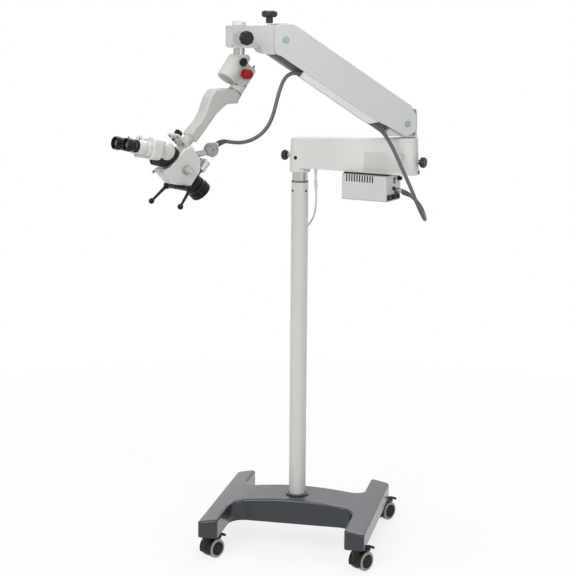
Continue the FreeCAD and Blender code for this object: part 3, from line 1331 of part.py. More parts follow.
def main():
    os.makedirs("parts", exist_ok=True)
    write("base_casting", base_casting())
    write("column_tube", column_tube())
    write("column_fasteners", column_fasteners())
    write("column_spigot", column_spigot())
    for name, x, y in caster_places():
        frame = Placement(Vector(x, y, 0), Rotation(Z, caster_turn))
        write("caster_" + name + "_housing", caster_housing(), frame)
        write("caster_" + name + "_wheels", caster_wheels(), frame)
        write("caster_" + name + "_lever", caster_lever(), frame)
    for make in (swing_arm_cover, swing_arm_beam, swing_lock_knob, turret_lock_knob, light_box_case,
                 light_box_panel, cable_fittings, lamp_module, light_guide_socket, power_switch,
                 dimmer_knob):
        write(make.__name__, make(), SWING)
    for make in (turret_bracket, spring_arm_cover, cable_channel, balance_spring, pivot_pins, lower_link,
                 front_yoke, yoke_lock_knob, shaft_lock_knob):
        write(make.__name__, make(), SPRING)
    write("swivel_shaft", swivel_shaft(), HEAD)
    write("offset_arm", offset_arm(), HEAD)
    for make in (coupling_body, coupling_knob, tension_knob):
        write(make.__name__, make(), COUPLING)
    for make in (head_bracket, bracket_knob, microscope_body, magnification_knob, head_light_socket,
                 focus_housing, objective_unit, objective_lens, focus_knob, tube_mount, handle_bar):
        write(make.__name__, make(), SCOPE)
    write("binocular_joint", binocular_joint(), TUBES)
    for name, side in (("left", 1), ("right", -1)):
        write("prism_housing_" + name, prism_housing(side), TUBES)
        write("eyepiece_" + name, eyepiece(side), TUBES)
    write("mains_cable", cord(mains_route, mains_r, "mains_cable"))
    write("light_guide_lower", cord(lower_route, guide_r, "light_guide_lower"))
    write("light_guide_upper", cord(upper_route, guide_r, "light_guide_upper"))


main()
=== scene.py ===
import math

import bpy
from mathutils import Matrix, Vector


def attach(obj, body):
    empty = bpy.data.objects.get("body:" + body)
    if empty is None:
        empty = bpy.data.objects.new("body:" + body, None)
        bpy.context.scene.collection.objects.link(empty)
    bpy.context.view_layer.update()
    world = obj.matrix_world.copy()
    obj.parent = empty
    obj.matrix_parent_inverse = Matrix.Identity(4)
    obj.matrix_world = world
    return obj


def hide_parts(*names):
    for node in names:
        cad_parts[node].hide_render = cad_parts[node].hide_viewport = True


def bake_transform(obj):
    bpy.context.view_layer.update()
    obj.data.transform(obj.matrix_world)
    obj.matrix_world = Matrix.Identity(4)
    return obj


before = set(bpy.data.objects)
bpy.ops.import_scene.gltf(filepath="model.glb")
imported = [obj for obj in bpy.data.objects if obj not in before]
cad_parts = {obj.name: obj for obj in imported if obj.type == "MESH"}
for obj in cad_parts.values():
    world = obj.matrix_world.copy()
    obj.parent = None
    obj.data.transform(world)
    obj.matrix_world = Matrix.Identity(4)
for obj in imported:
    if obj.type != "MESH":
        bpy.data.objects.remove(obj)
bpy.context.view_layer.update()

# Pieces are modelled in millimetres, in the frame of the part of the stand that carries them
MM = 0.001


def turn(degrees, axis):
    """Rotation about one axis."""
    return Matrix.Rotation(math.radians(degrees), 4, axis)


def shift(x, y, z):
    """Translation in millimetres."""
    return Matrix.Translation((x, y, z))


STAND = Matrix.Identity(4)
SWING = turn(-17, "Z")
SPRING = shift(*(SWING @ Vector((436, 0, 0)))) @ turn(213, "Z")
HEAD = shift(*(SPRING @ Vector((632, 0, 0)))) @ turn(231, "Z")
COUPLING = HEAD @ shift(0, 0, 1849.6) @ turn(51.7, "Y")
SCOPE = HEAD @ shift(240, 0, 1495.6) @ turn(135, "Y")
TUBES = HEAD @ shift(309, 0, 1559.6) @ turn(-11.2, "Y")

CASTERS = (("fl", -281.5, -279.5), ("fr", 281.5, -279.5), ("rl", -281.5, 279.5), ("rr", 281.5, 279.5))
CASTER_TURN = 58
WHEEL_CENTRE = (28.6, 0, 36)
SIDES = (("left", 1), ("right", -1))

# Places that more than one piece uses, in millimetres
GUIDE_PORT = (380, 18, 1376)
LIFT_PIVOTS = ((26.0, 1620.4), (481.3, 1912.0))
RED_KNOB_FACE = (37.6, 53.8, -34.2)
DRUM_CENTRE = (48, 0, -127)


def caster_frame(x, y):
    """Frame of one caster, on its swivel axis at the floor."""
    return shift(x, y, 0) @ turn(CASTER_TURN, "Z")


def metres(place, point):
    """A point of a part's frame, in metres in the stand's frame."""
    return (place @ Vector(point)) * MM


def heading(place, direction):
    """A direction of a part's frame, in the stand's frame."""
    return (place.to_3x3() @ Vector(direction)).normalized()


def linked(name, data):
    """An object of the scene that shows some data."""
    thing = bpy.data.objects.new(name, data)
    bpy.context.scene.collection.objects.link(thing)
    return thing


# Camera at the photograph's place: azimuth, elevation and roll in degrees, place in metres
CAMERA_TURN = (12.25, 11.13, 0.42)
CAMERA_PLACE = (1.1271, -5.3845, 2.0660)
LENS = 93.8
SENSOR = 36


def make_camera():
    azimuth, elevation, roll = (math.radians(degrees) for degrees in CAMERA_TURN)
    back = Vector((math.sin(azimuth) * math.cos(elevation), -math.cos(azimuth) * math.cos(elevation),
                   math.sin(elevation)))
    level = Vector((math.cos(azimuth), math.sin(azimuth), 0))
    upright = back.cross(level)
    right = level * math.cos(roll) + upright * math.sin(roll)
    up = upright * math.cos(roll) - level * math.sin(roll)
    data = bpy.data.cameras.new("camera")
    data.lens = LENS
    data.sensor_width = SENSOR
    camera = linked("camera", data)
    axes = Matrix((right, up, back)).transposed().to_4x4()
    camera.matrix_world = Matrix.Translation(CAMERA_PLACE) @ axes
    bpy.context.scene.camera = camera


make_camera()


# Shader maths
class Wire:
    """A value in a material, so that shader maths reads as expressions."""

    def __init__(self, tree, socket):
        self.tree = tree
        self.socket = socket

    def maths(self, operation, first, second):
        node = self.tree.nodes.new("ShaderNodeMath")
        node.operation = operation
        for slot, value in zip(node.inputs, (first, second)):
            plug(self.tree, slot, value)
        return Wire(self.tree, node.outputs[0])

    def __add__(self, other):
        return self.maths("ADD", self, other)

    def __radd__(self, other):
        return self.maths("ADD", other, self)

    def __sub__(self, other):
        return self.maths("SUBTRACT", self, other)

    def __rsub__(self, other):
        return self.maths("SUBTRACT", other, self)

    def __mul__(self, other):
        return self.maths("MULTIPLY", self, other)

    def __rmul__(self, other):
        return self.maths("MULTIPLY", other, self)

    def __truediv__(self, other):
        return self.maths("DIVIDE", self, other)

    def over(self, limit):
        """1 where the value is over a limit."""
        return self.maths("GREATER_THAN", self, limit)

    def under(self, limit):
        """1 where the value is under a limit."""
        return self.maths("LESS_THAN", self, limit)

    def absolute(self):
        """The value without its sign."""
        return self.maths("ABSOLUTE", self, 0)


def plug(tree, slot, value):
    """Sets a socket to a value or links it to a wire."""
    if isinstance(value, Wire):
        tree.links.new(value.socket, slot)
    elif value is not None:
        slot.default_value = value


class Finish:
    """A surface: a principled shader and the nodes that feed it."""

    def __init__(self, name, **constants):
        self.material = bpy.data.materials.new(name)
        self.material.use_nodes = True
        self.tree = self.material.node_tree
        self.shader = self.tree.nodes["Principled BSDF"]
        for socket, value in constants.items():
            self.shader.inputs[socket.replace("_", " ")].default_value = value
        self.place = self.node("ShaderNodeTexCoord", out="Object")

    def node(self, kind, settings=None, out=0, **values):
        """One node: its settings first, then the values or links of its sockets."""
        node = self.tree.nodes.new(kind)
        for name, value in (settings or {}).items():
            if name == "stops":
                ramp = node.color_ramp
                for i, (spot, grey) in enumerate(value):
                    stop = ramp.elements[i] if i < len(ramp.elements) else ramp.elements.new(spot)
                    stop.position = spot
                    stop.color = (grey, grey, grey, 1)
            else:
                setattr(node, name, value)
        for name, value in values.items():
            key = int(name[2:]) if name.startswith("in") else name.replace("_", " ")
            plug(self.tree, node.inputs[key], value)
        return Wire(self.tree, node.outputs[out])

    def noise(self, scale, detail=2.0, where=None, roughness=0.5):
        """Cloudy pattern from 0 to 1, with cells of about 1/scale metres."""
        return self.node("ShaderNodeTexNoise", out="Fac", Vector=where or self.place, Scale=scale,
                         Detail=detail, Roughness=roughness)

    def ramp(self, value, *stops):
        """A value bent by grey stops (place, height)."""
        return self.node("ShaderNodeValToRGB", {"stops": stops}, out="Color", Fac=value)

    def mix(self, share, first, second):
        """Colour between two colours."""
        return self.node("ShaderNodeMix", {"data_type": "RGBA"}, out=2, in0=share, in6=first, in7=second)

    def vector(self, operation, first, second=None, out="Vector"):
        """One step of vector maths."""
        return self.node("ShaderNodeVectorMath", {"operation": operation}, out=out, in0=first, in1=second)

    def along(self, point, direction):
        """Distance in metres along a direction from a point."""
        offset = self.vector("SUBTRACT", self.place, tuple(point))
        return self.vector("DOT_PRODUCT", offset, tuple(direction), "Value")

    def radial(self, point, direction):
        """Distance in metres from an axis."""
        offset = self.vector("SUBTRACT", self.place, tuple(point))
        across = self.vector("CROSS_PRODUCT", offset, tuple(direction))
        return self.vector("LENGTH", across, None, "Value")

    def colour(self, value):
        plug(self.tree, self.shader.inputs["Base Color"], value)

    def roughness(self, value):
        plug(self.tree, self.shader.inputs["Roughness"], value)

    def metallic(self, value):
        plug(self.tree, self.shader.inputs["Metallic"], value)

    def bump(self, height, distance):
        """Relief of the surface, with its depth in metres."""
        relief = self.node("ShaderNodeBump", Height=height, Distance=distance, Strength=1.0)
        plug(self.tree, self.shader.inputs["Normal"], relief)


def shade(rgb, factor):
    """A colour made lighter or darker."""
    return tuple(min(1.0, c * factor) for c in rgb) + (1.0,)


def paint(name, rgb, gloss=0.36, peel=0.00002, coat=0.15, grime=0.06):
    """Stoved paint: slight cloudiness, orange peel and a trace of handling."""
    finish = Finish(name, Coat_Weight=coat, Coat_Roughness=0.2)
    cloud = finish.noise(7, 3)
    smear = finish.ramp(finish.noise(38, 4, roughness=0.65), (0.45, 0), (0.75, 1))
    tone = finish.mix(cloud, shade(rgb, 0.975), shade(rgb, 1.02))
    finish.colour(finish.mix(smear * grime, tone, shade(rgb, 0.86)))
    finish.roughness(gloss + 0.05 * cloud + 0.08 * smear)
    finish.bump(finish.noise(850, 2), peel)
    return finish.material


def moulded(name, rgb, gloss=0.42, grain=0.00003, painted_sheen=0.2):
    """Moulded plastic with a fine grain; where hands rub it, it is smoother and a painted sheen lightens its
    colour.
    """
    finish = Finish(name, Specular_IOR_Level=0.24)
    fine = finish.noise(1500, 2)
    polish_and_sheen = finish.ramp(finish.noise(60, 3), (0.5, 0), (0.8, 1))
    # Painted sheen: the colour is made lighter where hands rub the plastic
    finish.colour(finish.mix(polish_and_sheen * painted_sheen, shade(rgb, 1.0), shade(rgb, 1.7)))
    finish.roughness(gloss + 0.1 * fine - 0.1 * polish_and_sheen)
    finish.bump(fine, grain)
    return finish.material


def turned_metal(name, rgb, centre, axis, gloss=0.24, metallic=1.0):
    """Lathe-turned metal with fine tool marks round its axis."""
    finish = Finish(name, Metallic=metallic)
    marks = finish.node("ShaderNodeTexNoise", {"noise_dimensions": "1D"}, out="Fac",
                        W=finish.along(centre, axis) * 2600, Scale=1.0, Detail=3.0)
    cloud = finish.noise(30, 3)
    finish.colour(finish.mix(cloud * 0.6 + marks * 0.4, shade(rgb, 0.86), shade(rgb, 1.08)))
    finish.roughness(gloss + 0.16 * marks + 0.06 * cloud)
    finish.bump(marks, 0.000008)
    return finish.material


def satin_metal(name, rgb, gloss=0.34, metallic=1.0):
    """Plain metal with fine blasted grain."""
    finish = Finish(name, Metallic=metallic)
    grain = finish.noise(2200, 2)
    cloud = finish.noise(45, 3)
    finish.colour(finish.mix(cloud, shade(rgb, 0.88), shade(rgb, 1.06)))
    finish.roughness(gloss + 0.12 * grain + 0.08 * cloud)
    finish.bump(grain, 0.00001)
    return finish.material


BLACK = (0.004, 0.004, 0.005)

# Where a finish changes, in metres: heights on the base and the spigot, radii on a wheel, and half
# the inside of the lamp box along the arm, across it and upward, where the inside is painted as shade
DUST_LINE = 0.166
SCUFF_LINE = 0.115
WASHER_TOP = 1.3895
TREAD_START = 0.0262
TREAD_WORN = 0.033
BOX_INSIDE = (0.0869, 0.0568, 0.0452)


def base_enamel():
    """Slate enamel on the casting: glossy, with dust on top and scuffs low on the sides."""
    rgb = (0.014, 0.019, 0.029)
    finish = Finish("slate_enamel", Coat_Weight=0.5, Coat_Roughness=0.10, Specular_IOR_Level=0.40)
    cloud = finish.noise(9, 4)
    speck = finish.ramp(finish.noise(420, 2), (0.64, 0), (0.72, 1))
    height = finish.along((0, 0, 0), (0, 0, 1))
    dust = finish.ramp(finish.noise(26, 5, roughness=0.7), (0.42, 0), (0.78, 1)) * height.over(DUST_LINE)
    drawn_out = finish.node("ShaderNodeMapping", Vector=finish.place, Scale=(1, 1, 6))
    scuff = finish.ramp(finish.noise(75, 3, where=drawn_out), (0.62, 0), (0.72, 1))
    low = height.under(SCUFF_LINE)
    tone = finish.mix(cloud, shade(rgb, 0.93), shade(rgb, 1.08))
    worn = finish.mix(dust * 0.16 + scuff * low * 0.25, tone, shade(rgb, 2.6))
    finish.colour(finish.mix(speck * 0.10, worn, shade(rgb, 2.2)))
    finish.roughness(0.27 + 0.10 * cloud + 0.16 * dust + 0.12 * scuff * low)
    finish.bump(finish.noise(520, 3), 0.00003)
    return finish.material


def collar_steel():
    """Spigot of the column: bright turned collar over a dark washer."""
    finish = Finish("collar_steel", Metallic=1.0)
    height = finish.along((0, 0, 0), (0, 0, 1))
    marks = finish.node("ShaderNodeTexNoise", {"noise_dimensions": "1D"}, out="Fac",
                        W=height * 2400, Scale=1.0, Detail=3.0)
    washer = height.under(WASHER_TOP)
    bright = finish.mix(marks, (0.40, 0.40, 0.39, 1), (0.56, 0.56, 0.54, 1))
    finish.colour(finish.mix(washer, bright, (0.05, 0.05, 0.05, 1)))
    finish.roughness(0.24 + 0.16 * marks + 0.15 * washer)
    finish.bump(marks, 0.000008)
    return finish.material


def lamp_box_finish():
    """Light paint outside; the inside, seen through the vents, is painted near black as shade."""
    finish = Finish("lamp_box_paint_and_inner_shade")
    across = finish.along(metres(SWING, (0, 0, 0)), heading(SWING, (0, 1, 0))).absolute()
    along = finish.along(metres(SWING, (291.7, 0, 0)), heading(SWING, (1, 0, 0))).absolute()
    height = finish.along((0, 0, 1.387), (0, 0, 1)).absolute()
    inside = across.under(BOX_INSIDE[1]) * along.under(BOX_INSIDE[0]) * height.under(BOX_INSIDE[2])
    cloud = finish.noise(8, 3)
    smear = finish.ramp(finish.noise(40, 4), (0.5, 0), (0.8, 1))
    skin = finish.mix(cloud, (0.55, 0.555, 0.54, 1), (0.58, 0.585, 0.57, 1))
    skin = finish.mix(smear * 0.08, skin, (0.45, 0.45, 0.43, 1))
    # Painted shade: the inside of the box, seen through the vents, is coloured near black
    finish.colour(finish.mix(inside, skin, (0.006, 0.006, 0.006, 1)))
    finish.roughness(0.42 + 0.05 * cloud + 0.4 * inside)
    finish.bump(finish.noise(900, 2), 0.00004)
    return finish.material


def wheel_finish(name, x, y):
    """Grey tread on a black hub, told apart by the distance from the axle."""
    place = caster_frame(x, y)
    finish = Finish("wheel_" + name)
    reach = finish.radial(metres(place, WHEEL_CENTRE), heading(place, (0, 1, 0)))
    tread = reach.over(TREAD_START)
    fine = finish.noise(900, 3)
    dirt = finish.ramp(finish.noise(120, 4), (0.4, 0), (0.8, 1)) * reach.over(TREAD_WORN)
    rubber = finish.mix(dirt * 0.7, (0.36, 0.35, 0.315, 1), (0.15, 0.145, 0.13, 1))
    hub = finish.mix(fine, (0.008, 0.008, 0.009, 1), (0.015, 0.015, 0.016, 1))
    finish.colour(finish.mix(tread, hub, rubber))
    finish.roughness(0.42 + 0.2 * tread + 0.08 * fine)
    finish.bump(fine, 0.00005)
    return finish.material


def two_part(name, divider, first, second, rough=(0.4, 0.4), metal=(0, 0)):
    """Two colours on one piece, divided by a mask that a function makes from the finish."""
    finish = Finish(name)
    mask = divider(finish)
    fine = finish.noise(900, 2)
    tone_a = finish.mix(fine, shade(first, 0.92), shade(first, 1.08))
    tone_b = finish.mix(fine, shade(second, 0.92), shade(second, 1.08))
    finish.colour(finish.mix(mask, tone_a, tone_b))
    finish.roughness(rough[0] + (rough[1] - rough[0]) * mask + 0.08 * fine)
    finish.metallic(metal[0] + (metal[1] - metal[0]) * mask)
    finish.bump(fine, 0.00001)
    return finish.material


def sheath_finish(name, rgb, pitch, depth, gloss):
    """Hose sheath: a shallow winding rib along its length, a painted highlight on the rib's crests and
    slight scuffing.
    """
    finish = Finish(name)
    spots = finish.node("ShaderNodeUVMap", {"uv_map": "along"}, out="UV")
    reach = finish.node("ShaderNodeSeparateXYZ", out="X", Vector=spots)
    lap = finish.node("ShaderNodeSeparateXYZ", out="Y", Vector=spots)
    wave = finish.node("ShaderNodeMath", {"operation": "SINE"}, in0=(reach / pitch + lap) * (2 * math.pi))
    scuff = finish.ramp(finish.noise(130, 4), (0.45, 0), (0.8, 1))
    rib = 0.5 + 0.5 * wave
    # Painted highlight: the colour is lighter on the rib's crests; the scuffs lighten it too
    finish.colour(finish.mix(scuff * 0.5 + rib * 0.2, shade(rgb, 0.9), shade(rgb, 1.35)))
    finish.roughness(gloss + 0.12 * scuff)
    finish.bump(rib + 0.1 * finish.noise(1200, 2), depth)
    return finish.material


def coated_glass(name, tint):
    """Lens with a faint coloured coating."""
    finish = Finish(name, Coat_Weight=0.6, Coat_Roughness=0.03, Specular_IOR_Level=0.8)
    haze = finish.noise(90, 2)
    finish.colour(finish.mix(haze, shade(tint, 0.8), shade(tint, 1.3)))
    finish.roughness(0.05 + 0.04 * haze)
    finish.metallic(0.2 + 0.1 * haze)
    return finish.material


# Mesh tools
def mode(kind):
    """Switches between editing and object mode."""
    bpy.ops.object.mode_set(mode=kind)


def clear_selection():
    """Leaves nothing selected."""
    bpy.ops.object.select_all(action="DESELECT")


def only(piece):
    """Makes one piece the selected and active one."""
    clear_selection()
    piece.select_set(True)
    bpy.context.view_layer.objects.active = piece


def named(name):
    """Names the piece just added and applies its place."""
    piece = bpy.context.object
    piece.name = name
    piece.data.name = name
    bpy.ops.object.transform_apply(location=True, rotation=True, scale=True)
    return piece


def modify(piece, kind, **settings):
    """Adds a modifier and applies it."""
    only(piece)
    modifier = piece.modifiers.new(kind.lower(), kind)
    for name, value in settings.items():
        setattr(modifier, name, value)
    bpy.ops.object.modifier_apply(modifier=modifier.name)
    return piece


def soften(piece, width, segments=2, limit=32):
    """Rounds the sharp edges of a piece."""
    return modify(piece, "BEVEL", width=width, segments=segments, limit_method="ANGLE",
                  angle_limit=math.radians(limit), harden_normals=False)


def drum(name, r, low, high, sides=48):
    """Cylinder about Z from one height to another."""
    clear_selection()
    middle = (0, 0, (low + high) / 2)
    bpy.ops.mesh.primitive_cylinder_add(vertices=sides, radius=r, depth=high - low, location=middle)
    return named(name)


def brick(name, low, high, width=0.0, segments=2):
    """Block between two corners, with rounded edges."""
    clear_selection()
    middle = (Vector(low) + Vector(high)) / 2
    bpy.ops.mesh.primitive_cube_add(size=1, location=middle, scale=Vector(high) - Vector(low))
    piece = named(name)
    if width:
        soften(piece, width, segments)
    return piece


def lathe(name, profile, sides=48):
    """Turned piece about Z: its profile (radius, height) is drawn as edges and spun."""
    mesh = bpy.data.meshes.new(name)
    edges = [(i, i + 1) for i in range(len(profile) - 1)]
    mesh.from_pydata([(r, 0, z) for r, z in profile], edges, [])
    piece = linked(name, mesh)
    only(piece)
    mode("EDIT")
    bpy.ops.mesh.select_all(action="SELECT")
    bpy.ops.mesh.spin(steps=sides, angle=2 * math.pi, center=(0, 0, 0), axis=(0, 0, 1))
    bpy.ops.mesh.select_all(action="SELECT")
    bpy.ops.mesh.remove_doubles(threshold=0.002)
    bpy.ops.mesh.normals_make_consistent(inside=False)
    mode("OBJECT")
    return piece


def turned(name, profile, sides=48):
    """Turned piece whose profile ends where it starts."""
    return lathe(name, profile + [profile[0]], sides)


def carve(piece, tool):
    """Cuts one piece out of another and drops the tool."""
    modify(piece, "BOOLEAN", operation="DIFFERENCE", object=tool, solver="EXACT")
    bpy.data.objects.remove(tool)
    return piece


def gather(name, pieces):
    """One piece from several separate ones."""
    clear_selection()
    for piece in pieces:
        piece.select_set(True)
    bpy.context.view_layer.objects.active = pieces[0]
    bpy.ops.object.join()
    bpy.context.object.name = name
    bpy.context.object.data.name = name
    return bpy.context.object


def placed(piece, place):
    """Moves the mesh of a piece, not its object."""
    piece.data.transform(place)
    return piece


def copied(piece, place):
    """A copy of a piece with its own mesh, at another place."""
    twin = piece.copy()
    twin.data = piece.data.copy()
    bpy.context.scene.collection.objects.link(twin)
    return placed(twin, place)


def toward(point, direction):
    """Frame whose Z points along a direction from a point."""
    return Matrix.Translation(Vector(point)) @ Vector(direction).to_track_quat("Z", "Y").to_matrix().to_4x4()


def pointed(piece, point, direction):
    """Moves the mesh of a piece to a point, with its Z along a direction."""
    return placed(piece, toward(point, direction))


def settle(piece, place, body, slot, finish, sharp=35):
    """Carries a finished piece to its body, with its finish."""
    piece.data.transform(Matrix.Scale(MM, 4) @ place)
    only(piece)
    bpy.ops.object.shade_smooth_by_angle(angle=math.radians(sharp))
    piece.data.materials.clear()
    piece.data.materials.append(finish)
    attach(piece, body)
    return piece


def hex_screw(name, r, height, key):
    """Cap screw head with a six-sided socket, standing on Z 0."""
    head = lathe(name, [(0, 0), (r, 0), (r, height - 0.5), (r - 0.5, height), (0, height)], 28)
    socket = drum(name + "_tool", key, height * 0.35, height + 1, 6)
    return carve(head, socket)


def slot_screw(name, r, height):
    """Screw head with a straight slot, standing on Z 0."""
    head = lathe(name, [(0, 0), (r, 0), (r, height * 0.6), (r * 0.8, height), (0, height)], 28)
    tool = brick(name + "_tool", (-r - 1, -r * 0.14, height * 0.45), (r + 1, r * 0.14, height + 1))
    return carve(head, tool)


def ridged(name, r, low, high, ridges, depth):
    """Knurled ring: every other side face of a cylinder is raised."""
    ring = drum(name, r, low, high, ridges * 2)
    only(ring)
    mode("EDIT")
    bpy.ops.mesh.select_all(action="DESELECT")
    mode("OBJECT")
    for face in ring.data.polygons:
        lap = (math.atan2(face.center.y, face.center.x) / math.pi + 1) * ridges
        face.select = abs(face.normal.z) < 0.5 and int(lap) % 2 == 0
    mode("EDIT")
    bpy.ops.mesh.select_mode(type="FACE")
    bpy.ops.mesh.extrude_faces_move(TRANSFORM_OT_shrink_fatten={"value": depth})
    mode("OBJECT")
    return ring


# Cords
def centreline(route):
    """Points in metres along the smooth line of a cord's route."""
    curve = bpy.data.curves.new("route", "CURVE")
    curve.dimensions = "3D"
    spline = curve.splines.new("NURBS")
    spline.points.add(len(route) - 1)
    for point, spot in zip(spline.points, route):
        point.co = tuple(c * MM for c in spot) + (1,)
    spline.order_u = 3
    spline.use_endpoint_u = True
    spline.resolution_u = 16
    guide = linked("route", curve)
    mesh = bpy.data.meshes.new_from_object(guide)
    line = [v.co.copy() for v in mesh.vertices]
    bpy.data.objects.remove(guide)
    bpy.data.meshes.remove(mesh)
    return line


def distances(line):
    """Length of a line up to each of its points."""
    reach = [0.0]
    for a, b in zip(line, line[1:]):
        reach.append(reach[-1] + (b - a).length)
    return reach


def rings_along(line):
    """A frame at each point of a line, turned as little as possible from one to the next."""
    last = len(line) - 1
    tangents = [(line[min(i + 1, last)] - line[max(i - 1, 0)]).normalized() for i in range(last + 1)]
    side = tangents[0].orthogonal().normalized()
    frames = []
    for i, tangent in enumerate(tangents):
        if i:
            side = tangents[i - 1].rotation_difference(tangent) @ side
            side = (side - tangent * side.dot(tangent)).normalized()
        frames.append((line[i], side.copy(), tangent.cross(side)))
    return frames


def hose(name, line, thickness, sides=20):
    """Closed tube along a line; thickness gives its radius at a distance in metres."""
    frames = rings_along(line)
    reach = distances(line)
    spots = []
    for (centre, side, other), distance in zip(frames, reach):
        for k in range(sides):
            a = 2 * math.pi * k / sides
            spots.append(centre + (side * math.cos(a) + other * math.sin(a)) * thickness(distance))
    faces = []
    for i in range(len(line) - 1):
        for k in range(sides):
            n = (k + 1) % sides
            faces.append((i * sides + k, i * sides + n, (i + 1) * sides + n, (i + 1) * sides + k))
    last = (len(line) - 1) * sides
    faces.append(tuple(reversed(range(sides))))
    faces.append(tuple(last + k for k in range(sides)))
    mesh = bpy.data.meshes.new(name)
    mesh.from_pydata(spots, [], faces)
    layer = mesh.uv_layers.new(name="along")
    for face in mesh.polygons:
        seam = len(face.vertices) == 4 and any(v % sides == sides - 1 for v in face.vertices)
        for loop, vertex in zip(face.loop_indices, face.vertices):
            lap = (vertex % sides) / sides
            if seam and vertex % sides == 0:
                lap = 1.0
            layer.data[loop].uv = (reach[vertex // sides], lap)
    piece = linked(name, mesh)
    only(piece)
    mode("EDIT")
    bpy.ops.mesh.select_all(action="SELECT")
    bpy.ops.mesh.normals_make_consistent(inside=False)
    mode("OBJECT")
    bpy.ops.object.shade_smooth_by_angle(angle=math.radians(50))
    return piece


def stretch_of(line, start, end):
    """The part of a line between two distances in metres, ends included."""
    reach = distances(line)
    kept = [line_point(line, reach, start)]
    kept += [p for p, d in zip(line, reach) if start + 1e-4 < d < end - 1e-4]
    return kept + [line_point(line, reach, end)]


def line_point(line, reach, distance):
    """The point of a line at a distance."""
    for a, b, da, db in zip(line, line[1:], reach, reach[1:]):
        if distance <= db or b is line[-1]:
            return a.lerp(b, min(1.0, (distance - da) / (db - da)))


def lay_cord(name, route, radius, bodies, splits, finish):
    """A cord in stretches, cut at shares of its length, each a tube with the finish; the CAD cord is hidden.
    """
    line = centreline(route)
    total = distances(line)[-1]
    cuts = [0.0] + [share * total for share in splits] + [total]
    for i, (start, end) in enumerate(zip(cuts, cuts[1:])):
        part = stretch_of(line, start, end)
        piece = hose(name + "_" + "abcd"[i], part, lambda distance: radius)
        piece.data.materials.append(finish)
        if i == 0:
            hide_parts(name)
        inset = (part[-1] - part[0]) * 0.08
        bodies[i + 1]
        part[0] + inset
        part[-1] - inset
        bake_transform(piece)
        end - start
    return line


MAINS_ROUTE = [
    (63.1, -19.3, 1389), (64.5, -17, 1356), (63, -6, 1320), (57.5, 12, 1287), (49, 32, 1257), (35, 50, 1231),
    (16, 60, 1208), (2, 52, 1187), (0, 31.75, 1172)]

LOWER_ROUTE = [
    (382, -98, 1376), (410, -106.5, 1370), (441, -115, 1351), (465, -121, 1325), (479, -138, 1298),
    (487, -167, 1285), (488, -198, 1291), (480, -221, 1314), (464, -231, 1352), (443, -230, 1401),
    (415, -219, 1455), (386, -207, 1512), (358, -200, 1562), (331, -206, 1600), (299.3, -225.4, 1627.5)]

UPPER_ROUTE = [
    (76.8, -369.9, 1797.5), (53, -393, 1803), (30, -412, 1784.5), (18, -426, 1748), (9, -437, 1708),
    (1, -446, 1667), (-13, -455, 1628), (-38, -463, 1597), (-70, -472, 1577), (-104, -484, 1569),
    (-132, -501, 1572), (-153.6, -521.7, 1578.4), (-169.7, -541.6, 1568)]

guide_sheath = sheath_finish("guide_sheath", (0.085, 0.087, 0.098), 0.0042, 0.00012, 0.40)
cable_sheath = sheath_finish("cable_sheath", (0.62, 0.62, 0.60), 0.02, 0.00002, 0.42)

mains_line = lay_cord("mains_cable", MAINS_ROUTE, 0.0035, ["swing_arm", "stand"], [],
                      cable_sheath)
lower_line = lay_cord("light_guide_lower", LOWER_ROUTE, 0.0065, ["swing_arm", "turret", "spring_arm"],
                      [0.55], guide_sheath)
upper_line = lay_cord("light_guide_upper", UPPER_ROUTE, 0.0065,
                      ["spring_arm", "yoke", "coupling", "offset_arm", "head"], [0.25, 0.5, 0.75],
                      guide_sheath)

# Finishes of the CAD nodes
beam_paint = paint("beam_paint", (0.66, 0.66, 0.64))
tube_paint = paint("tube_white_paint", (0.61, 0.612, 0.59), gloss=0.28, coat=0.3)
knob_grey = paint("knob_ring_grey", (0.30, 0.30, 0.285), gloss=0.35)
# Painted shade: the coupling's end cap has the coupling's paint, made darker for the shade on its end face
end_face_shade_paint = paint("end_cap_painted_shade", (0.33, 0.33, 0.29), gloss=0.4)
channel_paint = paint("channel_white", (0.68, 0.68, 0.67), gloss=0.38)
knob_black = moulded("knob_black", BLACK, gloss=0.36)
soft_black = moulded("soft_black", (0.010, 0.010, 0.011), gloss=0.5, grain=0.00005)
fine_black = moulded("anodised_black", (0.003, 0.003, 0.004), gloss=0.20, grain=0.00001, painted_sheen=0.2)
caster_black = moulded("caster_black", (0.009, 0.009, 0.010), gloss=0.45, grain=0.00006)
red_plastic = moulded("signal_red", (0.30, 0.007, 0.010), gloss=0.3, grain=0.00001, painted_sheen=0.1)
pin_blue = satin_metal("pin_cap_blue", (0.26, 0.32, 0.355), gloss=0.30, metallic=0.5)
black_steel = satin_metal("blackened_steel", (0.06, 0.06, 0.062), gloss=0.38)
bright_steel = satin_metal("bright_steel", (0.50, 0.50, 0.49), gloss=0.22)
focus_silver = turned_metal("focus_silver", (0.52, 0.52, 0.51), metres(SCOPE, (63, 0, -50)),
                            heading(SCOPE, (0, 0, -1)), gloss=0.26, metallic=0.85)
drum_grey = turned_metal("drum_grey", (0.33, 0.33, 0.32), metres(SCOPE, DRUM_CENTRE),
                         heading(SCOPE, (0, 1, 0)), gloss=0.36, metallic=0.6)
neck_steel = satin_metal("neck_steel", (0.42, 0.42, 0.41), gloss=0.3, metallic=0.8)
brass_dark = satin_metal("aged_brass", (0.16, 0.135, 0.085), gloss=0.35)
eye_coat = coated_glass("eyepiece_coating", (0.012, 0.022, 0.020))
plate_finish = paint("blank_plate", (0.545, 0.55, 0.53), gloss=0.3, peel=0.000005)
sleeve_grey = moulded("sleeve_grey", (0.070, 0.072, 0.080), gloss=0.45, grain=0.00003, painted_sheen=0.1)

